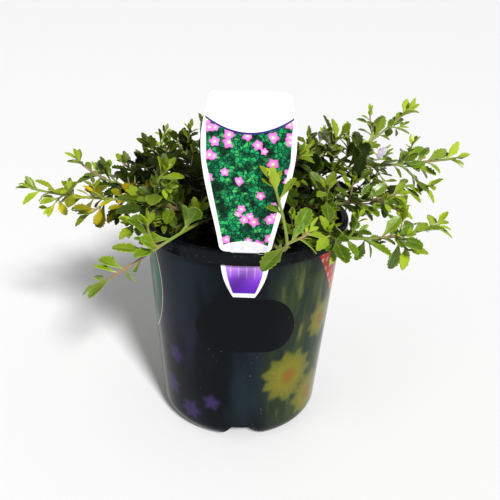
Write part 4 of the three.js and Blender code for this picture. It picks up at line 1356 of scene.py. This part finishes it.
def leaf_masters():
    """One leaf of each outline and form, a unit long, and a finer set for the shoots in front."""
    masters = {}
    # Rounding takes half of the teeth away, so that the rounded leaves start with deeper ones
    deeper = [(along, share, 1 + 2.2 * (edge - 1)) for along, share, edge in TOOTHED]
    kinds = (("toothed", TOOTHED, 2, FORMS), ("young", YOUNG, 2, FORMS[:3]), ("near", deeper, 4, FORMS))
    for kind, rows, columns, forms in kinds:
        for number, form in enumerate(forms):
            leaf = ribbon(f"leaf_{kind}_{number}", rows, columns, form, LEAF_SLIMNESS, 0.012)
            if kind == "near":
                modify(leaf, "SUBSURF", levels=1, render_levels=1)
            modify(leaf, "SOLIDIFY", thickness=0.04 if kind == "young" else 0.026, offset=0)
            bpy.ops.object.shade_smooth_by_angle(angle=radians(60))
            for key in TINTS:
                leaf.data.attributes.new(key, "FLOAT", "POINT")
            masters[kind, number] = leaf
    return masters


def placed_copy(master, name, place, length, tints, material):
    """A copy of a leaf or petal with its own mesh, at its place and length and with its tints."""
    mesh = master.data.copy()
    matrix = Matrix.Identity(4)
    for row in range(3):
        for column in range(4):
            matrix[row][column] = place[row][column] * (MM if column == 3 else length * MM)
    mesh.transform(matrix)
    for attribute, value in tints.items():
        mesh.attributes[attribute].data.foreach_set("value", [value] * len(mesh.vertices))
    mesh.materials.clear()
    mesh.materials.append(material)
    piece = bpy.data.objects.new(name, mesh)
    bpy.context.scene.collection.objects.link(piece)
    return piece


def tube(name, points, radii, material):
    """A round stem through points: a path with a bevel, made a mesh."""
    clear_selection()
    bpy.ops.curve.primitive_nurbs_path_add()
    piece = bpy.context.object
    curve = piece.data
    curve.splines.clear()
    spline = curve.splines.new("POLY")
    spline.points.add(len(points) - 1)
    for point, place, radius in zip(spline.points, points, radii):
        point.co, point.radius = (*(np.array(place) * MM), 1), radius
    curve.bevel_depth, curve.bevel_resolution, curve.use_fill_caps = MM, 1, True
    bpy.ops.object.convert(target="MESH")
    piece = bpy.context.object
    piece.name = name
    bpy.ops.object.mode_set(mode="EDIT")
    bpy.ops.mesh.select_all(action="SELECT")
    bpy.ops.mesh.remove_doubles(threshold=0.01 * MM)
    bpy.ops.mesh.normals_make_consistent(inside=False)
    bpy.ops.object.mode_set(mode="OBJECT")
    piece.data.materials.clear()
    piece.data.materials.append(material)
    bpy.ops.object.shade_smooth_by_angle(angle=radians(50))
    return piece


def stem_tube(name, stem, feet, root, material):
    """A stem that thins towards its tip, with a knot at each leaf's foot. A main one starts in the mix."""
    count = max(6, math.ceil(stem.length / 2.5))
    points = [stem.path.point(i / count) for i in range(count + 1)]
    radii = []
    for i in range(count + 1):
        share = i / count
        knot = max((1 - abs(share - foot) * stem.length / 2.2 for foot in feet), default=0)
        radii.append(stem.radius * (1 - 0.42 * share) * (1 + 0.22 * max(0, knot)))
    if root:
        points.insert(0, points[0] - [0, 0, ROOT_RISE + ROOT_DEPTH])
        radii.insert(0, stem.radius)
    return tube(name, points, radii, material)


# The plant's heart, where the leaves are painted in shade, in millimetres: where each of its sides is, and
# how far in the painted shade is at its darkest. On the left it reaches further out and up.
HEART_LEFT, LEFT_SPREAD = 10, 40
HEART_RADIUS, RADIUS_SPREAD, LEFT_SHIFT = 104, 38, 16
HEART_TOP, TOP_SPREAD, LEFT_RISE = 200, 30, 10
HEART_FRONT, FRONT_SPREAD = -64, 24


def eased(value, lowest=0):
    """A value kept between a lowest one and 1."""
    return min(1, max(lowest, value))


def depth_of(point):
    """How deep a leaf sits in the plant, which sets its painted shade: 0 on the outside and 1 in its heart,
    where little light falls.
    """
    x, y, z = point
    left = eased((HEART_LEFT - x) / LEFT_SPREAD)
    across = eased((HEART_RADIUS - math.hypot(x + LEFT_SHIFT * left, y)) / RADIUS_SPREAD)
    down = eased((HEART_TOP + LEFT_RISE * left - z) / TOP_SPREAD)
    behind = eased((y - HEART_FRONT) / FRONT_SPREAD, 1 - left)
    return across * down * behind


class PLANT_OT_shoots(Maker, bpy.types.Operator):
    """Grows every shoot: its stems, its leaves, and the sprigs and small leaves between them"""

    bl_idname = "plant.shoots"
    bl_label = "Shoots"

    def execute(self, context):
        settings = context.scene.plant_shoots
        outer_leaf = leaf_finish(settings, "glossy_leaf", 0.36)
        # The second, duller leaf finish is a shaded copy of the first, for painted shade in the plant's heart
        inner_leaf = leaf_finish(settings, "inner_leaf", 0.06)
        stem_skin = stem_finish(settings)
        masters = leaf_masters()
        plants, blooms = grow(settings)
        for index, plant in enumerate(plants):
            parts = []
            ageing = plant["name"] == "far_left"
            for order, stem in enumerate(plant["stems"]):
                feet = [blade["share"] for blade in plant["blades"] if blade["stem"] is stem]
                parts.append(stem_tube(f"stem_{order}", stem, feet, order == 0, stem_skin))
            for start, end in plant["stalks"]:
                parts.append(tube("stalk", [start, (start + end) / 2, end], [0.55, 0.5, 0.62], stem_skin))
            for number, blade in enumerate(plant["blades"]):
                place = blade["place"].copy()
                place[:, 3] += blade["shift"]
                young = blade["outline"] == "young"
                # Painted shade: a leaf's depth in the plant's heart darkens it, less for the shoots in front,
                # on top of a random darkening
                depth = depth_of(place[:, 3]) * (0.3 if plant["name"] in FRONT_SHOOTS else 1)
                shade = min(1, 0.5 * draw(index + 50, number) ** 1.7 + 0.95 * depth)
                youth = 0.75 + 0.25 * draw(index, number + 9) if young else 0.6 * blade["share"] ** 1.6
                yellow = 0.1 + 0.85 * draw(index, number + 5) ** 2 if ageing and not young else 0.0
                tints = dict(zip(TINTS, (shade, youth, yellow)))
                # Leaves deep in the heart take the duller copy of the leaf finish, as painted shade
                skin = inner_leaf if depth > 0.6 else outer_leaf
                near = not young and number < plant["solid_blades"] and plant["name"] in FRONT_SHOOTS
                master = masters["near" if near else blade["outline"], blade["form"]]
                parts.append(placed_copy(master, f"leaf_{number}", place, blade["length"], tints, skin))
            piece = join(f"leafy_{plant['name']}", parts)
            carry(piece, "yellowing_leaf" if ageing else "leaf", f"shoot_{plant['name']}")
        for master in masters.values():
            bpy.data.objects.remove(master)
        context.scene["bloom_places"] = [float(v) for matrix in blooms for v in matrix.flatten()]
        return {"FINISHED"}


class PLANT_OT_blooms(Maker, bpy.types.Operator):
    """Makes the fan blooms: a small tube with five petals fanned out on one side"""

    bl_idname = "plant.blooms"
    bl_label = "Blooms"

    def execute(self, context):
        finish = petal_finish(context.scene.plant_blooms)
        petal = ribbon("petal", PETAL, 6, (0.12, 0.15, 0), PETAL_SLIMNESS, 0.02)
        modify(petal, "SOLIDIFY", thickness=0.035, offset=0)
        bpy.ops.object.shade_smooth_by_angle(angle=radians(60))
        throat = turned("bloom_tube", [
            (0.5, 0), (0.68, 0.05), (0.72, 0.6), (0.85, 2), (1.1, 3.8), (1.3, 4.7), (1.3, BLOOM_TUBE),
            (1.05, 4.95), (0.9, 4.2), (0.6, 2.5), (0, 2.2)], 20)
        throat.data.materials.append(finish)
        numbers = np.array(context.scene["bloom_places"]).reshape(-1, 3, 4)
        for number, matrix in enumerate(numbers, 1):
            shell = throat.data.copy()
            base = Matrix([list(row) for row in matrix] + [[0, 0, 0, 1]])
            for row in range(3):
                base[row][3] *= MM
            shell.transform(base)
            body = bpy.data.objects.new("tube", shell)
            context.scene.collection.objects.link(body)
            parts = [body]
            for place in petal_places():
                foot = matrix[:, :3] @ place[:, 3] + matrix[:, 3]
                on_bloom = np.column_stack([matrix[:, :3] @ place[:, :3], foot])
                parts.append(placed_copy(petal, "petal_copy", on_bloom, PETAL_LENGTH, {}, finish))
            piece = join(f"fan_bloom_{number}", parts)
            bpy.ops.object.shade_smooth_by_angle(angle=radians(50))
            carry(piece, "petal", f"bloom_{number}")
        bpy.data.objects.remove(petal)
        bpy.data.objects.remove(throat)
        return {"FINISHED"}


# The camera's place in millimetres and its turns in radians, and the lights' places in metres

CAMERA_PLACE = (1.5, -420, 311)
CAMERA_TURN = 0.0076
CAMERA_DOWN = 0.4246
CAMERA_ROLL = 0.0359
KEY_PLACE = (0.48, -1.1, 1.04)
KEY_ANGLE = 10
FILL_PLACE = (-1.2, -1.0, 0.9)
FILL_SIZE = 1.2
FILL_POWER = 3.0


class PLANT_OT_stage(Maker, bpy.types.Operator):
    """Sets the pale floor, the soft lights and the camera"""

    bl_idname = "plant.stage"
    bl_label = "Stage"

    def execute(self, context):
        settings = context.scene.plant_stage
        clear_selection()
        bpy.ops.mesh.primitive_plane_add(size=60)
        floor = bpy.context.object
        floor.name = "pale_floor"
        finish = Finish("pale_floor", Roughness=0.8, Specular_IOR_Level=0.2)
        finish.set("Base Color", colour(0xF0F0F0))
        floor.data.materials.append(finish.material)
        world = bpy.data.worlds.new("soft_sky")
        world.use_nodes = True
        world.node_tree.nodes["Background"].inputs[0].default_value = (1, 1, 1, 1)
        world.node_tree.nodes["Background"].inputs[1].default_value = settings.sky
        context.scene.world = world
        for name, kind, place, size, power in (
            ("key", "SUN", KEY_PLACE, radians(KEY_ANGLE), settings.key_power),
            ("fill", "AREA", FILL_PLACE, FILL_SIZE, FILL_POWER),
        ):
            bpy.ops.object.light_add(type=kind, location=place)
            light = bpy.context.object
            light.name = light.data.name = name
            setattr(light.data, "angle" if kind == "SUN" else "size", size)
            light.data.energy = power
            light.rotation_euler = (math.atan2(math.hypot(place[0], place[1]), place[2] - 0.1), 0,
                                    math.atan2(place[1], place[0]) + math.pi / 2)
        camera = bpy.data.objects.new("camera", bpy.data.cameras.new("camera"))
        context.scene.collection.objects.link(camera)
        camera.data.lens, camera.data.sensor_width = settings.lens, 36
        camera.matrix_world = camera_place()
        context.scene.camera = camera
        context.scene.view_settings.view_transform = "Standard"
        return {"FINISHED"}


def camera_place():
    """The camera's matrix: it looks at the pot from the front and above, with a slight roll."""
    ahead = np.array([math.sin(CAMERA_TURN) * math.cos(CAMERA_DOWN),
                      math.cos(CAMERA_TURN) * math.cos(CAMERA_DOWN), -math.sin(CAMERA_DOWN)])
    level = np.array([math.cos(CAMERA_TURN), -math.sin(CAMERA_TURN), 0])
    up = np.cross(level, ahead)
    right = level * math.cos(CAMERA_ROLL) + up * math.sin(CAMERA_ROLL)
    top = up * math.cos(CAMERA_ROLL) - level * math.sin(CAMERA_ROLL)
    place = np.array(CAMERA_PLACE) * MM
    return Matrix([[right[i], top[i], -ahead[i], place[i]] for i in range(3)] + [[0, 0, 0, 1]])


class PLANT_PT_panel(bpy.types.Panel):
    """Lists the pieces and their settings"""

    bl_idname = "PLANT_PT_panel"
    bl_label = "Potted fan flower"
    bl_space_type = "VIEW_3D"
    bl_region_type = "UI"
    bl_category = "Fan flower"

    def draw(self, context):
        for operator, group in STEPS:
            box = self.layout.box()
            box.operator(operator.bl_idname)
            if group:
                settings = getattr(context.scene, group)
                for name in settings.__annotations__:
                    box.prop(settings, name)


GROUPS = {
    "plant_pot": PotSettings,
    "plant_mix": MixSettings,
    "plant_shoots": ShootSettings,
    "plant_blooms": BloomSettings,
    "plant_stage": StageSettings,
}
STEPS = [
    (PLANT_OT_stage, "plant_stage"),
    (PLANT_OT_pot, "plant_pot"),
    (PLANT_OT_mix, "plant_mix"),
    (PLANT_OT_tag, None),
    (PLANT_OT_shoots, "plant_shoots"),
    (PLANT_OT_blooms, "plant_blooms"),
]
CLASSES = [*GROUPS.values(), *(operator for operator, group in STEPS), PLANT_PT_panel]


def register():
    for one in CLASSES:
        bpy.utils.register_class(one)
    for name, group in GROUPS.items():
        setattr(bpy.types.Scene, name, bpy.props.PointerProperty(type=group))


def unregister():
    for name in GROUPS:
        delattr(bpy.types.Scene, name)
    for one in reversed(CLASSES):
        bpy.utils.unregister_class(one)


def main():
    register()
    for operator, group in STEPS:
        space, name = operator.bl_idname.split(".")
        getattr(getattr(bpy.ops, space), name)()
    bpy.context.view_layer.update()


if __name__ == "__main__":
    main()
